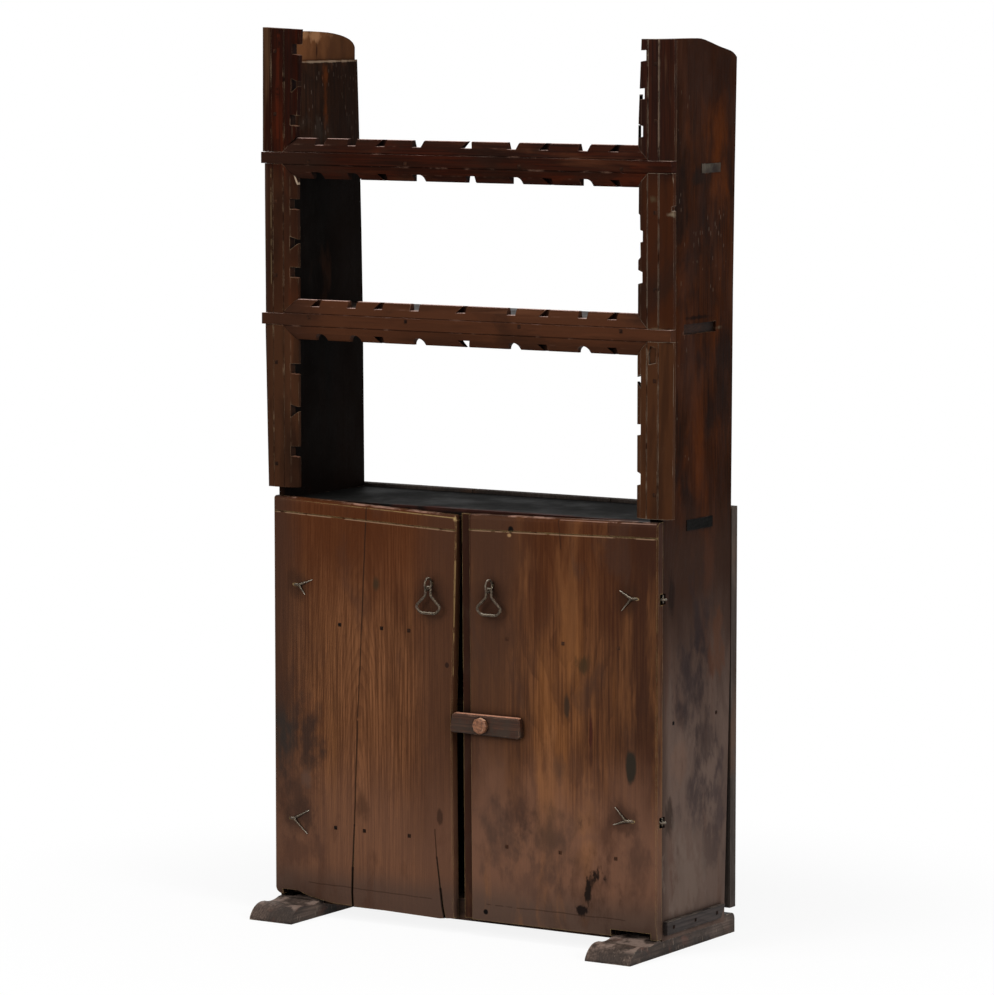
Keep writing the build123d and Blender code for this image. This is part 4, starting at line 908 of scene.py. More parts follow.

# In each finish the upward arrises and faces get rubbing with a painted highlight, and the arrises get
# a painted highlight as well as rubbing.
FINISHES = {
    "rail": WoodFinish(
        "rail_wood", ground=paint(27, 9, 4), bright=paint(43, 15, 6), dark=paint(14, 6, 4),
        top_rub_and_highlight=paint(206, 172, 160), grain=Grain.ACROSS,
        patches=(Patch(paint(20, 10, 6), 9.0, 0.55, 0.6),
                 Patch(paint(72, 26, 9), 11.0, 0.62, 0.5, shift=3.0)),
        fades=(Fade(Axis.HEIGHT, 1.30, 1.20, paint(66, 38, 23), 0.8),
               Fade(Axis.ACROSS, -0.26, -0.36, paint(36, 22, 16), 0.6, 0.03)),
        bloom=(Patch(paint(30, 18, 12), 14.0, 0.6, 0.5, shift=6.0),
               Patch(paint(92, 54, 34), 16.0, 0.63, 0.3, drawn=0.15, shift=9.0),
               Patch(paint(34, 18, 11), 24.0, 0.57, 0.5, drawn=0.1, shift=14.0),
               Patch(paint(108, 70, 48), 30.0, 0.68, 0.35, drawn=0.06, shift=17.0)),
        **{**RACK_TONES, "wear_and_highlight_reach": 0.0024, "top_rub_and_highlight_amount": 0.72}),
    "left_stile": WoodFinish(
        "left_stile_wood", ground=paint(25, 8, 4), bright=paint(37, 11, 4), dark=paint(13, 5, 3),
        top_rub_and_highlight=paint(110, 76, 60),
        fades=(Fade(Axis.HEIGHT, 1.37, 1.32, paint(46, 25, 14), 0.9),
               Fade(Axis.HEIGHT, 1.12, 1.06, paint(54, 32, 19), 0.9)),
        bloom=(Patch(paint(82, 32, 10), 8.0, 0.63, 0.6, drawn=0.12),
               Patch(paint(18, 9, 6), 9.0, 0.56, 0.55, shift=5.0),
               Patch(paint(26, 14, 8), 24.0, 0.57, 0.5, drawn=0.1, shift=12.0),
               Patch(paint(96, 70, 48), 30.0, 0.68, 0.35, drawn=0.06, shift=17.0)),
        # Painted highlights along the stile's arrises, the last one a painted reddish reflection.
        lines=(highlight_lip((-0.4215, 1.36), (-0.4215, 1.13), paint(104, 90, 66), 1.6 * MM, 0.6, 1.0 * MM, 0.48),
               highlight_lip((-0.4035, 1.35), (-0.4035, 1.14), paint(100, 86, 62), 1.2 * MM, 0.6, 1.0 * MM, 0.5),
               highlight_lip((-0.365, 1.37), (-0.352, 1.32), paint(170, 150, 128), 1.4 * MM, 0.7, 1.0 * MM, 0.3),
               highlight_lip((-0.386, 1.59), (-0.389, 1.40), paint(84, 30, 13), 5.0 * MM, 0.2, 9.0 * MM, 0.46)),
        **{**RACK_TONES, "worn": paint(122, 102, 80), "wear_and_highlight": 0.52}),
    "right_stile": WoodFinish(
        "right_stile_wood", ground=paint(27, 12, 8), bright=paint(42, 19, 11), dark=paint(15, 8, 6),
        top_rub_and_highlight=paint(176, 156, 138),
        fades=(Fade(Axis.HEIGHT, 1.37, 1.32, paint(48, 23, 10), 0.85),
               Fade(Axis.HEIGHT, 1.12, 1.06, paint(58, 34, 19), 0.9)),
        bloom=(Patch(paint(86, 42, 13), 8.0, 0.62, 0.55, drawn=0.15),
               Patch(paint(26, 18, 14), 9.0, 0.56, 0.6, shift=5.0),
               Patch(paint(28, 15, 9), 24.0, 0.57, 0.5, drawn=0.1, shift=12.0),
               Patch(paint(110, 84, 62), 30.0, 0.67, 0.4, drawn=0.06, shift=17.0)),
        # Painted highlights along the stile's arrises.
        lines=(highlight_lip((0.3785, 1.592), (0.3785, 1.40), paint(96, 78, 62), 1.0 * MM, 0.4, 0.5 * MM, 0.52),
               highlight_lip((0.3985, 1.592), (0.3985, 1.40), paint(110, 92, 76), 1.2 * MM, 0.45, 0.5 * MM, 0.5)),
        stains=(Stain((0.424, RACK_FRONT, 1.287), (0.010, 0.03, 0.006), paint(112, 100, 82), 0.7, 1.0),
                Stain((0.388, RACK_FRONT, 1.312), (0.007, 0.03, 0.008), paint(64, 54, 38), 0.6, 1.0),
                Stain((0.395, RACK_FRONT, 1.090), (0.016, 0.03, 0.004), paint(88, 74, 58), 0.5, 1.0)),
        **{**RACK_TONES, "worn": paint(138, 122, 104), "wear_and_highlight": 0.55}),
    "left_side": WoodFinish(
        "left_side_wood", ground=paint(30, 18, 11), bright=paint(46, 27, 17), dark=paint(13, 8, 5),
        fades=(Fade(Axis.HEIGHT, 1.535, 1.541, paint(104, 66, 40), 0.9, 0.002),
               # Below the rails the inner face is painted near black: painted shade.
               Fade(Axis.HEIGHT, 1.39, 1.36, paint(5, 3, 2), 0.96),
               Fade(Axis.ACROSS, -0.39, -0.41, paint(44, 25, 15), 0.6),
               Fade(Axis.DEPTH, 0.03, 0.10, paint(20, 11, 7), 0.5)),
        patches=(Patch(paint(84, 40, 15), 10.0, 0.63, 0.4, drawn=0.12),
                 Patch(paint(54, 46, 40), 26.0, 0.6, 0.45, shift=2.0)),
        stains=(
            Stain((-0.38, 0.034, 1.556), (0.03, 0.004, 0.016), paint(24, 14, 10), 0.85, 0.8),
            Stain((-0.38, 0.10, 1.556), (0.03, 0.05, 0.02), paint(66, 40, 25), 0.6, 1.4),
            # Painted highlight along the upper arris of the bare end.
            Stain((-0.38, 0.02, 1.585), (0.03, 0.05, 0.012), paint(156, 114, 80), 0.6, 1.6),
            Stain((-0.38, 0.053, 1.48), (0.03, 0.008, 0.07), paint(86, 42, 16), 0.6, 1.2),
            # Painted highlight along the ledge.
            Stain((-0.38, 0.05, 1.537), (0.03, 0.12, 0.0022), paint(140, 120, 100), 0.7, 0.9),
        ),
        **{**SIDE_TONES, "fleck": 0.5}),
    "right_side": WoodFinish(
        "right_side_wood", ground=paint(34, 16, 7), bright=paint(51, 24, 9), dark=paint(17, 9, 5),
        patches=(Patch(paint(84, 40, 12), 11.0, 0.59, 0.55, 0.1, 0.3),
                 Patch(paint(16, 10, 8), 13.0, 0.57, 0.65, shift=4.0)),
        fades=(Fade(Axis.HEIGHT, 1.40, 1.56, paint(36, 17, 8), 0.6),
               Fade(Axis.HEIGHT, 0.80, 0.68, paint(46, 31, 24), 0.9, 0.03),
               Fade(Axis.HEIGHT, 0.66, 0.34, paint(92, 76, 68), 0.95, 0.1),
               Fade(Axis.DEPTH, -0.05, -0.079, paint(36, 23, 17), 0.6, 0.02)),
        bloom=(Patch(paint(40, 28, 24), 14.0, 0.58, 0.45, 0.14, 0.3, 8.0),
               Patch(paint(72, 42, 28), 18.0, 0.62, 0.35, 0.12, 0.25, 11.0)),
        stains=(
            bruise(0.02, 0.46, 0.05, 0.08, paint(42, 34, 34), 0.8, 1.5, 1.0),
            bruise(0.05, 0.56, 0.04, 0.06, paint(38, 30, 30), 0.75, 1.5, 1.0),
            bruise(0.11, 0.52, 0.025, 0.06, paint(78, 48, 32), 0.5, 1.2),
            bruise(0.04, 0.27, 0.05, 0.06, paint(50, 42, 42), 0.75, 1.5, 1.0),
            bruise(0.12, 0.24, 0.035, 0.08, paint(58, 48, 47), 0.7, 1.5, 1.0),
            bruise(0.07, 0.36, 0.035, 0.07, paint(54, 43, 40), 0.7, 1.5, 1.0),
            bruise(-0.02, 0.33, 0.03, 0.05, paint(98, 76, 64), 0.5, 1.2),
            bruise(0.09, 0.17, 0.03, 0.05, paint(66, 54, 50), 0.6, 1.2),
            bruise(-0.05, 0.62, 0.012, 0.04, paint(20, 14, 12), 0.7, 0.8),
            bruise(-0.055, 0.24, 0.014, 0.04, paint(34, 26, 22), 0.7, 0.8),
            bruise(0.0, 0.13, 0.06, 0.07, paint(102, 88, 79), 0.5, 1.6),
            Stain((0.406, 0.04, 1.345), (0.03, 0.04, 0.016), paint(20, 14, 11), 0.7, 0.8),
            Stain((0.404, 0.08, 1.082), (0.03, 0.03, 0.004), paint(104, 96, 80), 0.7, 0.8),
            Stain((0.404, 0.03, 1.104), (0.03, 0.05, 0.004), paint(12, 8, 6), 0.8, 0.8),
            Stain((0.404, 0.05, 0.742), (0.03, 0.05, 0.012), paint(26, 22, 20), 0.8, 0.8),
        ), **SIDE_TONES),
    "shelf": WoodFinish(
        "shelf_wood", ground=paint(34, 20, 14), bright=paint(50, 29, 19), dark=paint(15, 9, 6),
        worn=paint(104, 80, 62), top_rub_and_highlight=paint(70, 54, 44), grain=Grain.ACROSS, specular=0.04, top_rub_and_highlight_amount=0.4,
        fades=(Fade(Axis.ACROSS, 0.4035, 0.4055, paint(92, 86, 74), 0.6, 0.004),),
        patches=(Patch(paint(24, 20, 18), 8.0, 0.54, 0.7),)),
    "counter": WoodFinish(
        "counter_wood", ground=paint(15, 15, 14), bright=paint(24, 23, 22), dark=paint(9, 9, 8),
        worn=paint(70, 46, 36), top_rub_and_highlight=paint(26, 26, 25), grain=Grain.ACROSS, top_rub_and_highlight_amount=0.4,
        roughness=0.55, specular=0.01,
        fades=(Fade(Axis.ACROSS, 0.4035, 0.4055, paint(54, 52, 46), 0.6, 0.004),),
        stains=(Stain((0.1, -0.075, 0.757), (0.34, 0.012, 0.02), paint(60, 32, 26), 0.7, 1.2),)),
    "inside": WoodFinish(
        "inside_wood", ground=paint(46, 31, 23), bright=paint(64, 44, 32), dark=paint(24, 16, 12),
        worn=paint(98, 76, 58), top_rub_and_highlight=paint(76, 60, 48), grain=Grain.ACROSS, wear_and_highlight=0.35, roughness=0.62,
        specular=0.05, patches=(Patch(paint(32, 25, 21), 8.0, 0.52, 0.7),)),
    "back": WoodFinish(
        "back_wood", ground=paint(66, 57, 51), bright=paint(84, 75, 69), dark=paint(36, 29, 25),
        worn=paint(112, 94, 80), top_rub_and_highlight=paint(60, 48, 41), wear_and_highlight=0.36, roughness=0.66, worm=0.4,
        specular=0.05,
        patches=(Patch(paint(44, 39, 36), 6.0, 0.52, 0.7),
                 Patch(paint(84, 60, 44), 9.0, 0.6, 0.5, shift=3.0))),
    "left_door": WoodFinish(
        "left_door_wood", ground=paint(72, 43, 25), bright=paint(108, 69, 43), dark=paint(42, 23, 14),
        pith=(-0.2355, -0.101, 0.0), lean=(-0.047, -0.10, 0.0), rings=230.0, waviness=0.034,
        ring_depth=0.26, pores=0.5,
        patches=(Patch(paint(62, 37, 22), 8.0, 0.6, 0.55),
                 Patch(paint(118, 77, 44), 12.0, 0.6, 0.45, drawn=0.12, shift=3.0)),
        fades=(
            Fade(Axis.HEIGHT, 0.46, 0.74, paint(62, 28, 8), 0.75, 0.1),
            Fade(Axis.ACROSS, -0.31, -0.395, paint(52, 33, 24), 0.85, 0.03),
            Fade(Axis.ACROSS, -0.12, -0.05, paint(60, 37, 25), 0.8, 0.02),
            Fade(Axis.HEIGHT, 0.36, 0.14, paint(94, 65, 50), 0.6, 0.08),
            Fade(Axis.HEIGHT, 0.11, 0.055, paint(66, 50, 42), 0.8, 0.012),
        ),
        bloom=(Patch(paint(60, 37, 26), 16.0, 0.62, 0.45, shift=9.0),),
        lines=(seam((-0.1995, 0.757), (-0.220, 0.366), CRACK, 1.8 * MM),
               seam((-0.2200, 0.368), (-0.2275, 0.172), CRACK, 2.4 * MM),
               # The splits are painted dark to their full depth: painted shade on their walls.
               seam((-0.2275, 0.178), (-0.2318, 0.090), SPLIT_SHADE, 2.4 * MM, 0.9, 0.5 * MM, 0.0, 0.03),
               seam((-0.2312, 0.100), (-0.2340, 0.010), SPLIT_SHADE, 3.6 * MM, 0.95, 0.3 * MM, 0.0, 0.03),
               seam((-0.0520, 0.136), (-0.0440, 0.075), SPLIT_SHADE, 2.4 * MM, 0.9, 0.5 * MM, 0.0, 0.03),
               seam((-0.0445, 0.080), (-0.0352, 0.010), SPLIT_SHADE, 3.8 * MM, 0.95, 0.3 * MM, 0.0, 0.03),
               seam((-0.0560, 0.185), (-0.0520, 0.130), CRACK, 1.6 * MM, 0.8),
               # Painted glint along the quirk under the roll.
               seam((-0.398, 0.7325), (-0.012, 0.7185), QUIRK_LIP_GLINT, 1.4 * MM, 0.65, 0.0, 0.5),
               # Painted highlight along the free edge's arris.
               seam((-0.0115, 0.735), (-0.0175, 0.46), paint(142, 116, 76), 1.6 * MM, 0.5, 1.5 * MM,
                    0.54),
               seam((-0.330, 0.062), (-0.060, 0.058), CRACK, 1.4 * MM, 0.5, 4.0 * MM, 0.4)),
        stains=(
            mark(-0.382, 0.330, 0.026, 0.080, paint(38, 34, 31), 0.9, 1.0, 0.9),
            mark(-0.323, 0.313, 0.026, 0.066, paint(42, 30, 25), 0.85, 1.2, 0.9),
            mark(-0.348, 0.225, 0.044, 0.060, paint(50, 34, 27), 0.75, 1.3, 1.0),
            mark(-0.372, 0.415, 0.030, 0.050, paint(54, 35, 26), 0.7, 1.0),
            mark(-0.330, 0.250, 0.016, 0.022, paint(78, 58, 48), 0.6, 1.0),
            mark(-0.340, 0.120, 0.050, 0.030, paint(66, 44, 34), 0.6, 1.2),
            mark(-0.180, 0.615, 0.008, 0.013, paint(44, 34, 22), 0.8, 0.4),
            mark(-0.207, 0.206, 0.015, 0.022, paint(52, 33, 23), 0.6, 1.2, 1.0),
            mark(-0.045, 0.205, 0.007, 0.016, paint(38, 24, 17), 0.7, 0.6, 0.4),
            mark(-0.030, 0.480, 0.004, 0.005, paint(28, 17, 12), 0.8, 0.3, 0.3),
            mark(-0.352, 0.602, 0.026, 0.030, paint(44, 27, 18), 0.6),
            mark(-0.350, 0.176, 0.034, 0.034, paint(48, 33, 26), 0.5),
            mark(-0.061, 0.596, 0.036, 0.046, paint(42, 26, 18), 0.6, 0.3),
            # Painted highlight on the rounded upper corner of the free edge.
            Stain((-0.011, FRONT, 0.742), (0.008, 0.005, 0.007), paint(190, 160, 110), 0.7, 1.0),
        ), **DOOR_TONES),
    "right_door": WoodFinish(
        "right_door_wood", ground=paint(66, 39, 23), bright=paint(100, 63, 37), dark=paint(40, 22, 14),
        pith=(0.23, 0.25, 0.0), lean=(0.03, 0.02, 0.0), rings=150.0, waviness=0.05, ring_depth=0.34,
        patches=(Patch(paint(122, 76, 38), 14.0, 0.6, 0.45, drawn=0.1),
                 Patch(paint(56, 36, 25), 8.0, 0.58, 0.6, shift=3.0)),
        fades=(
            Fade(Axis.HEIGHT, 0.46, 0.72, paint(56, 26, 9), 0.75, 0.12),
            Fade(Axis.ACROSS, 0.24, 0.38, paint(42, 23, 15), 0.75, 0.04),
            Fade(Axis.ACROSS, 0.17, 0.07, paint(59, 38, 27), 0.8, 0.03),
            Fade(Axis.HEIGHT, 0.38, 0.18, paint(104, 73, 57), 0.72, 0.1),
            Fade(Axis.HEIGHT, 0.12, 0.055, paint(68, 53, 45), 0.85, 0.012),
            # The recessed tongue along the meeting edge is painted dark: painted shade.
            Fade(Axis.ACROSS, 0.0215, 0.0175, paint(38, 18, 10), 0.9, 0.0),
        ),
        bloom=(Patch(paint(118, 76, 44), 18.0, 0.63, 0.4, drawn=0.15, shift=13.0),
               Patch(paint(54, 37, 29), 16.0, 0.62, 0.45, shift=9.0)),
        # Painted glint along the quirk under the roll.
        lines=(seam((0.018, 0.7230), (0.398, 0.7290), QUIRK_LIP_GLINT, 1.5 * MM, 0.7, 0.0, 0.46),
               # Painted highlight along the upper arris of the roll.
               seam((0.200, 0.7530), (0.398, 0.7560), paint(158, 126, 110), 2.2 * MM, 0.6, 1.0 * MM,
                    0.45),
               seam((0.200, 0.755), (0.206, 0.70), CRACK, 1.4 * MM, 0.7),
               seam((0.050, 0.060), (0.340, 0.060), CRACK, 1.4 * MM, 0.5, 5.0 * MM, 0.45),
               seam((0.300, 0.755), (0.302, 0.735), CRACK, 1.2 * MM, 0.6)),
        stains=(
            mark(0.258, 0.165, 0.020, 0.080, paint(126, 84, 54), 0.55, 1.5, 1.1),
            mark(0.178, 0.280, 0.020, 0.090, paint(122, 80, 50), 0.5, 1.5, 1.1),
            mark(0.348, 0.331, 0.011, 0.030, paint(34, 30, 24), 0.95, 0.3, 0.3),
            mark(0.250, 0.503, 0.014, 0.014, paint(46, 35, 21), 0.75, 1.6, 0.8),
            mark(0.218, 0.425, 0.007, 0.022, paint(38, 30, 23), 0.8, 0.6, 0.5),
            mark(0.267, 0.385, 0.004, 0.034, paint(50, 23, 17), 0.85, 0.6, 0.5),
            mark(0.267, 0.340, 0.006, 0.022, paint(50, 28, 20), 0.7, 0.6, 0.5),
            mark(0.190, 0.185, 0.046, 0.060, paint(58, 43, 35), 0.75, 1.5, 1.2),
            mark(0.081, 0.195, 0.040, 0.060, paint(58, 43, 36), 0.7, 1.5, 1.2),
            mark(0.120, 0.240, 0.030, 0.036, paint(56, 37, 29), 0.6, 1.5, 1.2),
            mark(0.204, 0.313, 0.014, 0.036, paint(60, 43, 34), 0.6, 1.4, 1.0),
            mark(0.265, 0.105, 0.040, 0.062, paint(54, 37, 29), 0.7, 1.5, 1.1),
            mark(0.276, 0.138, 0.013, 0.015, paint(20, 13, 10), 0.95, 1.8, 0.4),
            mark(0.263, 0.106, 0.009, 0.026, paint(18, 12, 9), 0.95, 1.2, 0.35),
            mark(0.248, 0.070, 0.016, 0.010, paint(16, 10, 8), 0.95, 1.2, 0.35),
            mark(0.367, 0.165, 0.026, 0.056, paint(60, 42, 34), 0.65, 1.5, 1.1),
            mark(0.140, 0.110, 0.060, 0.030, paint(70, 50, 41), 0.6, 1.6, 1.2),
            mark(0.300, 0.215, 0.030, 0.040, paint(62, 40, 30), 0.55, 1.6, 1.2),
            mark(0.051, 0.046, 0.005, 0.005, paint(8, 6, 5), 1.0, 0.1, 0.3),
            mark(0.103, 0.729, 0.006, 0.007, paint(8, 5, 4), 1.0, 0.2, 0.3),
            mark(0.100, 0.719, 0.005, 0.004, paint(150, 118, 82), 0.7, 0.8, 0.5),
            mark(0.340, 0.624, 0.028, 0.030, paint(42, 24, 15), 0.6),
            mark(0.330, 0.236, 0.030, 0.032, paint(50, 33, 25), 0.6),
            mark(0.065, 0.600, 0.036, 0.046, paint(40, 24, 16), 0.6, 0.3),
        ), **DOOR_TONES),
    "foot": WoodFinish(
        "foot_wood", ground=paint(62, 50, 44), bright=paint(94, 79, 70), dark=paint(32, 26, 22),
        worn=paint(150, 132, 116), top_rub_and_highlight=paint(122, 104, 94), grain=Grain.FRONT_TO_BACK, wear_and_highlight=0.46,
        wear_and_highlight_reach=0.004, roughness=0.5, relief=0.6, specular=0.1, fleck=0.5,
        patches=(Patch(paint(44, 37, 33), 16.0, 0.52, 0.7, drawn=1.0),
                 Patch(paint(104, 66, 54), 22.0, 0.62, 0.5, drawn=1.0, shift=2.0))),
    "cleat": WoodFinish(
        "cleat_wood", ground=paint(44, 38, 36), bright=paint(62, 54, 51), dark=paint(24, 20, 18),
        worn=paint(116, 104, 92), top_rub_and_highlight=paint(92, 82, 74), grain=Grain.FRONT_TO_BACK, wear_and_highlight=0.44,
        roughness=0.5, specular=0.06),
    "button": WoodFinish(
        "button_wood", ground=paint(46, 28, 19), bright=paint(72, 44, 30), dark=paint(28, 17, 11),
        worn=paint(150, 108, 84), top_rub_and_highlight=paint(190, 136, 110), grain=Grain.ACROSS, wear_and_highlight=0.56,
        top_rub_and_highlight_amount=0.85, roughness=0.32, specular=0.12,
        patches=(Patch(paint(46, 36, 28), 22.0, 0.52, 0.75, drawn=1.0),)),
    "peg": WoodFinish(
        "peg_wood", ground=paint(92, 58, 40), bright=paint(134, 90, 64), dark=paint(50, 30, 20),
        worn=paint(190, 150, 120), top_rub_and_highlight=paint(196, 152, 124), grain=Grain.FRONT_TO_BACK, wear_and_highlight=0.6,
        top_rub_and_highlight_amount=0.8, roughness=0.32, specular=0.2),
    "iron": IronFinish("forged_iron"),
    "nail_iron": IronFinish("nail_iron", scale_colour=paint(10, 8, 7), bare=paint(22, 17, 14),
                            metal=0.0, wear_and_highlight=0.2, top_rub_and_highlight_amount=0.2, specular=0.02),
    "waxed_nail": IronFinish("waxed_nail", scale_colour=paint(44, 28, 20), bare=paint(62, 40, 27),
                             rubbed=paint(96, 68, 50), metal=0.0, wear_and_highlight=0.2, top_rub_and_highlight_amount=0.2,
                             specular=0.02),
    "rack_nail": IronFinish("rack_nail", scale_colour=paint(20, 11, 7), bare=paint(34, 19, 12),
                            rubbed=paint(84, 58, 42), metal=0.0, wear_and_highlight=0.2, top_rub_and_highlight_amount=0.2,
                            specular=0.02),
}


class Wardrobe:
    """Hands out materials, making each one the first time it is wanted."""

    def __init__(self) -> None:
        """Start with none made."""
        self.made: dict[str, bpy.types.Material] = {}

    def get(self, name: str) -> bpy.types.Material:
        """Find a material.

        Args:
            name: Its finish.

        Returns:
            The material, the same one each time.
        """
        if name not in self.made:
            self.made[name] = FINISHES[name].build()
        return self.made[name]


WARDROBE = Wardrobe()


# ------------------------------------------------------------------ worn meshes
@dataclass(frozen=True)
class BoardShaper:
    """Turns a sharp board of the frame into one with softened, uneven arrises."""

    arris: float = 1.2 * MM
    segments: int = 2
    sharp_from: float = radians(28)
    step: float = 14 * MM
    dent: float = 0.7 * MM
    dent_from: float = 0.05
    dent_scale: float = 42.0
    rounded_from: float = radians(8)
    broad: float = 2e-4
    sliver: float = 1e-9
    weld: float = 2e-6
    flat_to: float = radians(0.6)
    crease: float = radians(50)

    def shape(self, node: str, name: str) -> bpy.types.Object:
        """Build the worn board over a node of the frame.

        Args:
            node: The node it stands for.
            name: Name of the new piece.

        Returns:
            The new object, linked to the scene.
        """
        mesh = bpy.data.meshes.new(name)
        shape = bmesh.new()
        shape.from_mesh(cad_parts[node].data)
        bmesh.ops.remove_doubles(shape, verts=shape.verts, dist=self.weld)
        bmesh.ops.dissolve_limit(shape, angle_limit=self.flat_to, verts=shape.verts,
                                 edges=shape.edges)
        self.divide_arrises(shape)
        edges = self.arrises(shape)
        bmesh.ops.bevel(shape, geom=edges, offset=self.arris, offset_type="OFFSET",
                        segments=self.segments, profile=0.5, affect="EDGES", clamp_overlap=True)
        self.dent_arrises(shape)
        bmesh.ops.recalc_face_normals(shape, faces=shape.faces)
        shape.to_mesh(mesh)
        shape.free()
        return self.finish(mesh, name)

    def arrises(self, shape: bmesh.types.BMesh) -> list[bmesh.types.BMEdge]:
        """Edges where two faces meet at a marked angle."""
        return [edge for edge in shape.edges
                if len(edge.link_faces) == 2 and edge.calc_face_angle(0.0) > self.sharp_from]

    def divide_arrises(self, shape: bmesh.types.BMesh) -> None:
        """Give long arrises points close enough to wander between.

        Args:
            shape: The board.
        """
        for edge in self.arrises(shape):
            cuts = int(edge.calc_length() / self.step)
            if cuts:
                bmesh.ops.bisect_edges(shape, edges=[edge], cuts=cuts)

    def dent_arrises(self, shape: bmesh.types.BMesh) -> None:
        """Push points on the softened arrises inward by an uneven amount, broad faces staying flat.

        Args:
            shape: The board.
        """
        shape.normal_update()
        for vertex in shape.verts:
            if max((face.calc_area() for face in vertex.link_faces), default=0) < self.sliver:
                continue
            bend = max((edge.calc_face_angle(0.0) for edge in vertex.link_edges
                        if len(edge.link_faces) == 2), default=0.0)
            if bend > self.rounded_from:
                knock = max(0.0, noise.noise(vertex.co * self.dent_scale) - self.dent_from)
                push = vertex.normal * knock * self.dent * 2
                for face in vertex.link_faces:
                    if face.calc_area() > self.broad:
                        push -= face.normal * push.dot(face.normal)
                vertex.co -= push

    def finish(self, mesh: bpy.types.Mesh, name: str) -> bpy.types.Object:
        """Smooth the shading and make the object.

        Args:
            mesh: The built mesh.
            name: Name of the piece.

        Returns:
            The object.
        """
        if "custom_normal" in mesh.attributes:
            mesh.attributes.remove(mesh.attributes["custom_normal"])
        mesh.shade_smooth()
        mesh.set_sharp_from_angle(angle=self.crease)
        piece = bpy.data.objects.new(name, mesh)
        bpy.context.scene.collection.objects.link(piece)
        weighted = piece.modifiers.new("even_shading", "WEIGHTED_NORMAL")
        weighted.keep_sharp = True
        return piece


NAIL_HEADS = BoardShaper(arris=0.4 * MM, dent=0.2 * MM)


@dataclass(frozen=True)
class IronShaper:
    """Turns a sharp iron bar of the frame into a round, hammered one."""

    grain: float = 0.55 * MM
    smoothing: int = 4
    hammer: float = 0.22 * MM
    hammer_scale: float = 260.0

    def shape(self, node: str, name: str) -> bpy.types.Object:
        """Build the hammered bar over a node of the frame.

        Args:
            node: The node it stands for.
            name: Name of the new piece.

        Returns:
            The new object, linked to the scene.
        """
        source = bpy.data.objects.new(name + "_blank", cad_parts[node].data.copy())
        bpy.context.scene.collection.objects.link(source)
        remesh = source.modifiers.new("remesh", "REMESH")
        remesh.mode = "VOXEL"
        remesh.voxel_size = self.grain
        smooth = source.modifiers.new("smooth", "SMOOTH")
        smooth.factor = 0.5
        smooth.iterations = self.smoothing
        graph = bpy.context.evaluated_depsgraph_get()
        mesh = bpy.data.meshes.new_from_object(source.evaluated_get(graph))
        bpy.data.objects.remove(source)
        mesh.name = name
        mesh.materials.clear()
        for vertex in mesh.vertices:
            blow = noise.noise(vertex.co * self.hammer_scale)
            vertex.co -= vertex.normal * max(0.0, blow) * self.hammer
        mesh.shade_smooth()
        piece = bpy.data.objects.new(name, mesh)
        bpy.context.scene.collection.objects.link(piece)
        return piece


@dataclass
class Piece:
    """One visible piece: which node it stands for, its finish, slot and body."""

    node: str
    finish: str
    slot: Slot
    body: Body
    shaper: BoardShaper | IronShaper

    def build(self) -> bpy.types.Object:
        """Build, dress and mount the piece.

        Returns:
            The finished object.
        """
        piece = self.shaper.shape(self.node, f"{self.node}_worn")
        piece.data.materials.clear()
        piece.data.materials.append(WARDROBE.get(self.finish))
        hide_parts(self.node)
        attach(piece, self.body.value)
        LOG.info("%s: %d faces in %s", piece.name, len(piece.data.polygons), self.finish)
        return piece


def sides(*endings: str) -> list[str]:
    """Names of the left and right piece of each kind."""
    return [f"{side}_{ending}" for ending in endings for side in ("left", "right")]


# ------------------------------------------------------------------ sub-assemblies
@dataclass
class Carcass:
    """Sides, shelves, back, feet and the strips nailed to them."""

    board: BoardShaper = BoardShaper()
    rough: BoardShaper = BoardShaper(arris=2.0 * MM, dent=1.0 * MM)
    trodden: BoardShaper = BoardShaper(
        arris=7.0 * MM, segments=4, dent=1.6 * MM, step=24 * MM, sharp_from=radians(50))
    nail: BoardShaper = NAIL_HEADS

    def build(self) -> list[bpy.types.Object]:
        """Build every piece of the carcass.

        Returns:
            The pieces.
        """
        plan: list[tuple[Sequence[str], str, Slot, BoardShaper]] = [
            (("left_side_board",), "left_side", Slot.SIDE, self.board),
            (("right_side_board",), "right_side", Slot.SIDE, self.board),
            (("upper_shelf", "lower_shelf"), "shelf", Slot.SIDE, self.board),
            (("counter_board",), "counter", Slot.SIDE, self.board),
            (("bottom_board", "inner_shelf", "front_stretcher"), "inside", Slot.INSIDE, self.board),
            (("left_back_board", "middle_back_board", "right_back_board"), "back", Slot.INSIDE,
             self.board),
            (sides("foot"), "foot", Slot.FOOT, self.trodden),
            (sides("side_cleat"), "cleat", Slot.FOOT, self.rough),
            (("back_nails", "shelf_nails", "cleat_nails"), "nail_iron", Slot.IRON, self.nail),
        ]
        return [Piece(node, finish, slot, Body.CARCASS, shaper).build()
                for nodes, finish, slot, shaper in plan for node in nodes]


@dataclass
class Rack:
    """Notched rails and stiles of the spoon rack, with their nails."""

    levels: tuple[str, ...] = ("lower", "middle", "upper")
    moulding: BoardShaper = BoardShaper(arris=0.7 * MM, dent=0.6 * MM)
    nail: BoardShaper = NAIL_HEADS

    def build(self) -> list[bpy.types.Object]:
        """Build every piece of the rack.

        Returns:
            The pieces.
        """
        plan = [
            (("upper_rail", "lower_rail"), "rail", Slot.RACK, self.moulding),
            *(([f"{side}_{level}_stile" for level in self.levels], f"{side}_stile", Slot.RACK,
               self.moulding) for side in ("left", "right")),
            (("rack_nails",), "rack_nail", Slot.IRON, self.nail),
        ]
        return [Piece(node, finish, slot, Body.CARCASS, shaper).build()
                for nodes, finish, slot, shaper in plan for node in nodes]


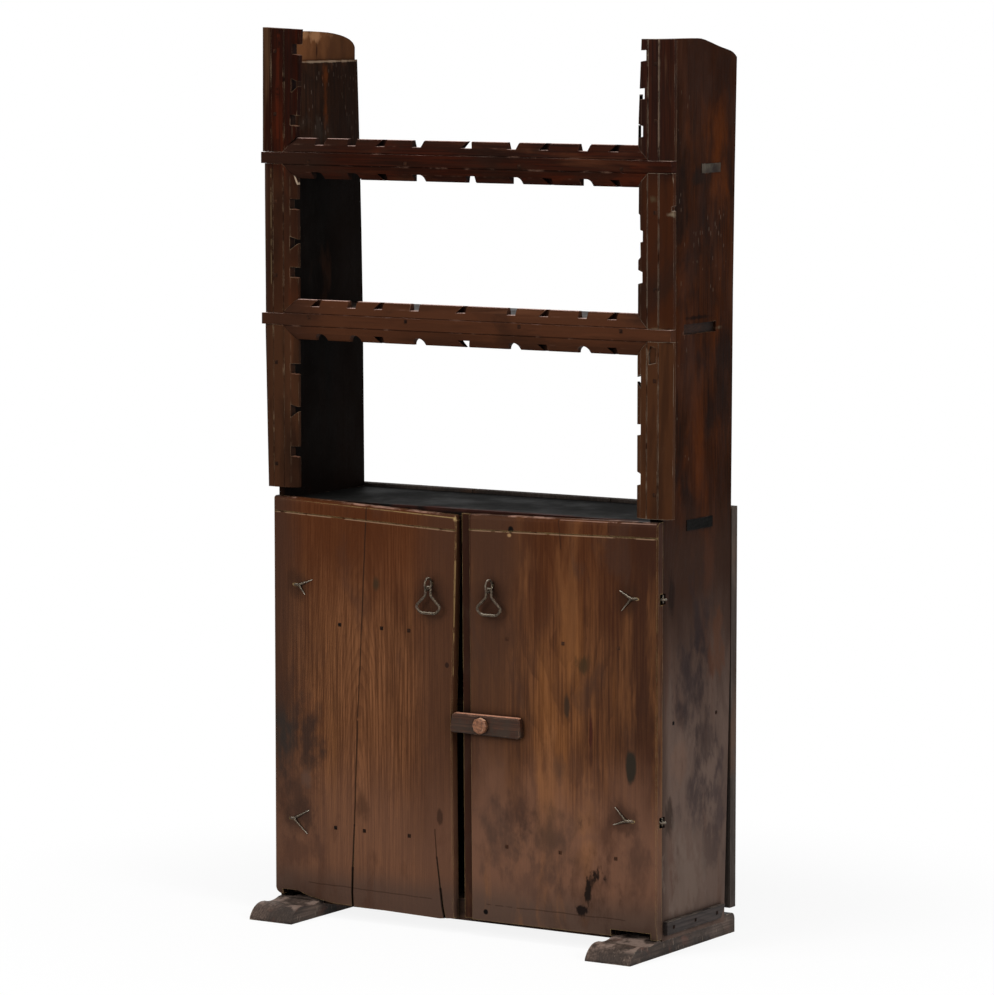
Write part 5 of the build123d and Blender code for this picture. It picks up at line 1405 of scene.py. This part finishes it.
@dataclass
class Door:
    """One door with its battens, nails, hinge pins, staple and drop handle."""

    side: str
    body: Body
    bail_body: Body
    nail_finish: str = "nail_iron"
    board: BoardShaper = BoardShaper()
    nail: BoardShaper = NAIL_HEADS
    iron: IronShaper = IronShaper()

    def build(self) -> list[bpy.types.Object]:
        """Build every piece of the door.

        Returns:
            The pieces.
        """
        side = self.side
        plan = [
            (f"{side}_door", f"{side}_door", Slot.DOOR, self.body, self.board),
            (f"{side}_door_lower_batten", "inside", Slot.INSIDE, self.body, self.board),
            (f"{side}_door_upper_batten", "inside", Slot.INSIDE, self.body, self.board),
            (f"{side}_door_nails", self.nail_finish, Slot.IRON, self.body, self.nail),
            (f"{side}_lower_door_hinge_pin", "iron", Slot.IRON, self.body, self.iron),
            (f"{side}_upper_door_hinge_pin", "iron", Slot.IRON, self.body, self.iron),
            (f"{side}_lower_side_hinge_pin", "iron", Slot.IRON, Body.CARCASS, self.iron),
            (f"{side}_upper_side_hinge_pin", "iron", Slot.IRON, Body.CARCASS, self.iron),
            (f"{side}_handle_staple", "iron", Slot.IRON, self.body, self.iron),
            (f"{side}_handle_bail", "iron", Slot.IRON, self.bail_body, self.iron),
        ]
        return [Piece(node, finish, slot, body, shaper).build()
                for node, finish, slot, body, shaper in plan]


@dataclass
class Fastening:
    """The turn button and the faceted peg it turns on."""

    shaper: BoardShaper = BoardShaper(arris=1.0 * MM, segments=3)

    def build(self) -> list[bpy.types.Object]:
        """Build the button and its peg."""
        return [
            Piece("turn_button", "button", Slot.BUTTON, Body.BUTTON, self.shaper).build(),
            Piece("button_peg", "peg", Slot.BUTTON, Body.RIGHT_DOOR, self.shaper).build(),
        ]


# ------------------------------------------------------------------ studio
@dataclass(frozen=True)
class Lamp:
    """One soft lamp that faces the middle of the cupboard."""

    name: str
    place: Point
    size: tuple[float, float]
    power: float
    target: Point = (0.0, 0.0, 0.8)

    def hang(self) -> None:
        """Hang the lamp."""
        light = bpy.data.lights.new(self.name, "AREA")
        light.shape = "RECTANGLE"
        light.size, light.size_y = self.size
        light.energy = self.power
        lamp = bpy.data.objects.new(self.name, light)
        lamp.location = self.place
        aim = Vector(self.target) - Vector(self.place)
        lamp.rotation_euler = aim.to_track_quat("-Z", "Y").to_euler()
        bpy.context.scene.collection.objects.link(lamp)
        LOG.info("%s hung", self.name)


@dataclass
class Studio:
    """Pale floor, white surround, soft lamps and the camera."""

    floor_reach: float = 14.0
    floor_colour: Colour = (0.93, 0.93, 0.93, 1.0)
    floor_mottle: Colour = (0.85, 0.85, 0.85, 1.0)
    floor_glow: float = 0.88
    shadow_reach: tuple[float, float] = (0.55, 1.3)
    surround_strength: float = 0.3
    lamps: tuple[Lamp, ...] = (
        Lamp("key_softbox", (-1.4, -4.6, 3.0), (2.4, 2.4), 150.0),
        Lamp("top_strip", (0.2, -0.7, 3.6), (2.6, 0.5), 42.0),
        Lamp("side_softbox", (4.2, -1.6, 2.2), (1.8, 1.8), 105.0),
    )
    camera_place: Point = (4.62465, -7.3578, 1.70179)
    camera_tilt: float = 0.1067
    camera_swing: float = 0.5598
    sensor: float = 36.0
    lens: float = 178.42

    def build(self) -> None:
        """Set up everything round the cupboard."""
        self.surround()
        self.floor()
        for lamp in self.lamps:
            lamp.hang()
        self.camera()

    def surround(self) -> None:
        """White surround that gives soft light and shows white behind the cupboard."""
        world = bpy.data.worlds.new("surround")
        bpy.context.scene.world = world
        world.use_nodes = True
        tree = Tree(world.node_tree)
        background = world.node_tree.nodes["Background"]
        strength = tree.ramp(self.seen(tree), 0.0, 1.0, self.surround_strength, 1.0)
        world.node_tree.links.new(strength, background.inputs["Strength"])
        background.inputs["Color"].default_value = (1.0, 1.0, 1.0, 1.0)

    def seen(self, tree: Tree) -> Socket:
        """Tell what is looked at from what gives light.

        Args:
            tree: The tree that asks.

        Returns:
            One for what the camera, a reflection or clear glass shows, nought for light.
        """
        path = tree.add("ShaderNodeLightPath").outputs
        seen = tree.math("MAXIMUM", path["Is Camera Ray"], path["Is Glossy Ray"])
        return tree.math("MAXIMUM", seen, path["Is Transmission Ray"])

    def floor(self) -> None:
        """Pale floor that takes the cupboard's shadow and fades to white further off."""
        mesh = bpy.data.meshes.new("studio_floor")
        shape = bmesh.new()
        bmesh.ops.create_circle(shape, cap_ends=True, radius=self.floor_reach, segments=64)
        shape.to_mesh(mesh)
        shape.free()
        floor = bpy.data.objects.new("studio_floor", mesh)
        bpy.context.scene.collection.objects.link(floor)
        mesh.materials.append(self.floor_material())

    def floor_material(self) -> bpy.types.Material:
        """Matt near the cupboard, plain white to the camera further away.

        Returns:
            The floor's material.
        """
        material = bpy.data.materials.new("studio_floor")
        material.use_nodes = True
        tree = Tree(material.node_tree)
        nodes = material.node_tree.nodes
        shader = nodes["Principled BSDF"]
        place = tree.add("ShaderNodeTexCoord").outputs["Object"]
        mottle = tree.ramp(tree.noise(place, 3.0), 0.3, 0.7, 0.0, 0.02)
        colour = tree.mix(mottle, self.floor_colour, self.floor_mottle)
        material.node_tree.links.new(colour, shader.inputs["Base Color"])
        shader.inputs["Roughness"].default_value = 0.9
        shader.inputs["Specular IOR Level"].default_value = 0.1
        white = tree.add("ShaderNodeEmission", {"Color": (1.0, 1.0, 1.0, 1.0), "Strength": 1.0})
        far = tree.ramp(tree.length(place), *self.shadow_reach, self.floor_glow, 1.0)
        share = tree.math("MULTIPLY", far, self.seen(tree))
        blend = tree.add("ShaderNodeMixShader", {
            0: share, 1: shader.outputs[0], 2: white.outputs[0]})
        material.node_tree.links.new(blend.outputs[0], nodes["Material Output"].inputs["Surface"])
        return material

    def camera(self) -> None:
        """Place the camera."""
        data = bpy.data.cameras.new("camera")
        data.sensor_fit = "HORIZONTAL"
        data.sensor_width = self.sensor
        data.lens = self.lens
        camera = bpy.data.objects.new("camera", data)
        camera.location = self.camera_place
        camera.rotation_euler = (pi / 2 - self.camera_tilt, 0.0, self.camera_swing)
        bpy.context.scene.collection.objects.link(camera)
        bpy.context.scene.camera = camera
        bpy.context.scene.view_settings.view_transform = "Standard"


def main() -> None:
    """Build the cupboard and its studio."""
    logging.basicConfig(level=logging.INFO, format="%(message)s")
    Carcass().build()
    Rack().build()
    Door("left", Body.LEFT_DOOR, Body.LEFT_BAIL).build()
    Door("right", Body.RIGHT_DOOR, Body.RIGHT_BAIL, "waxed_nail").build()
    Fastening().build()
    Studio().build()


if __name__ == "__main__":
    main()
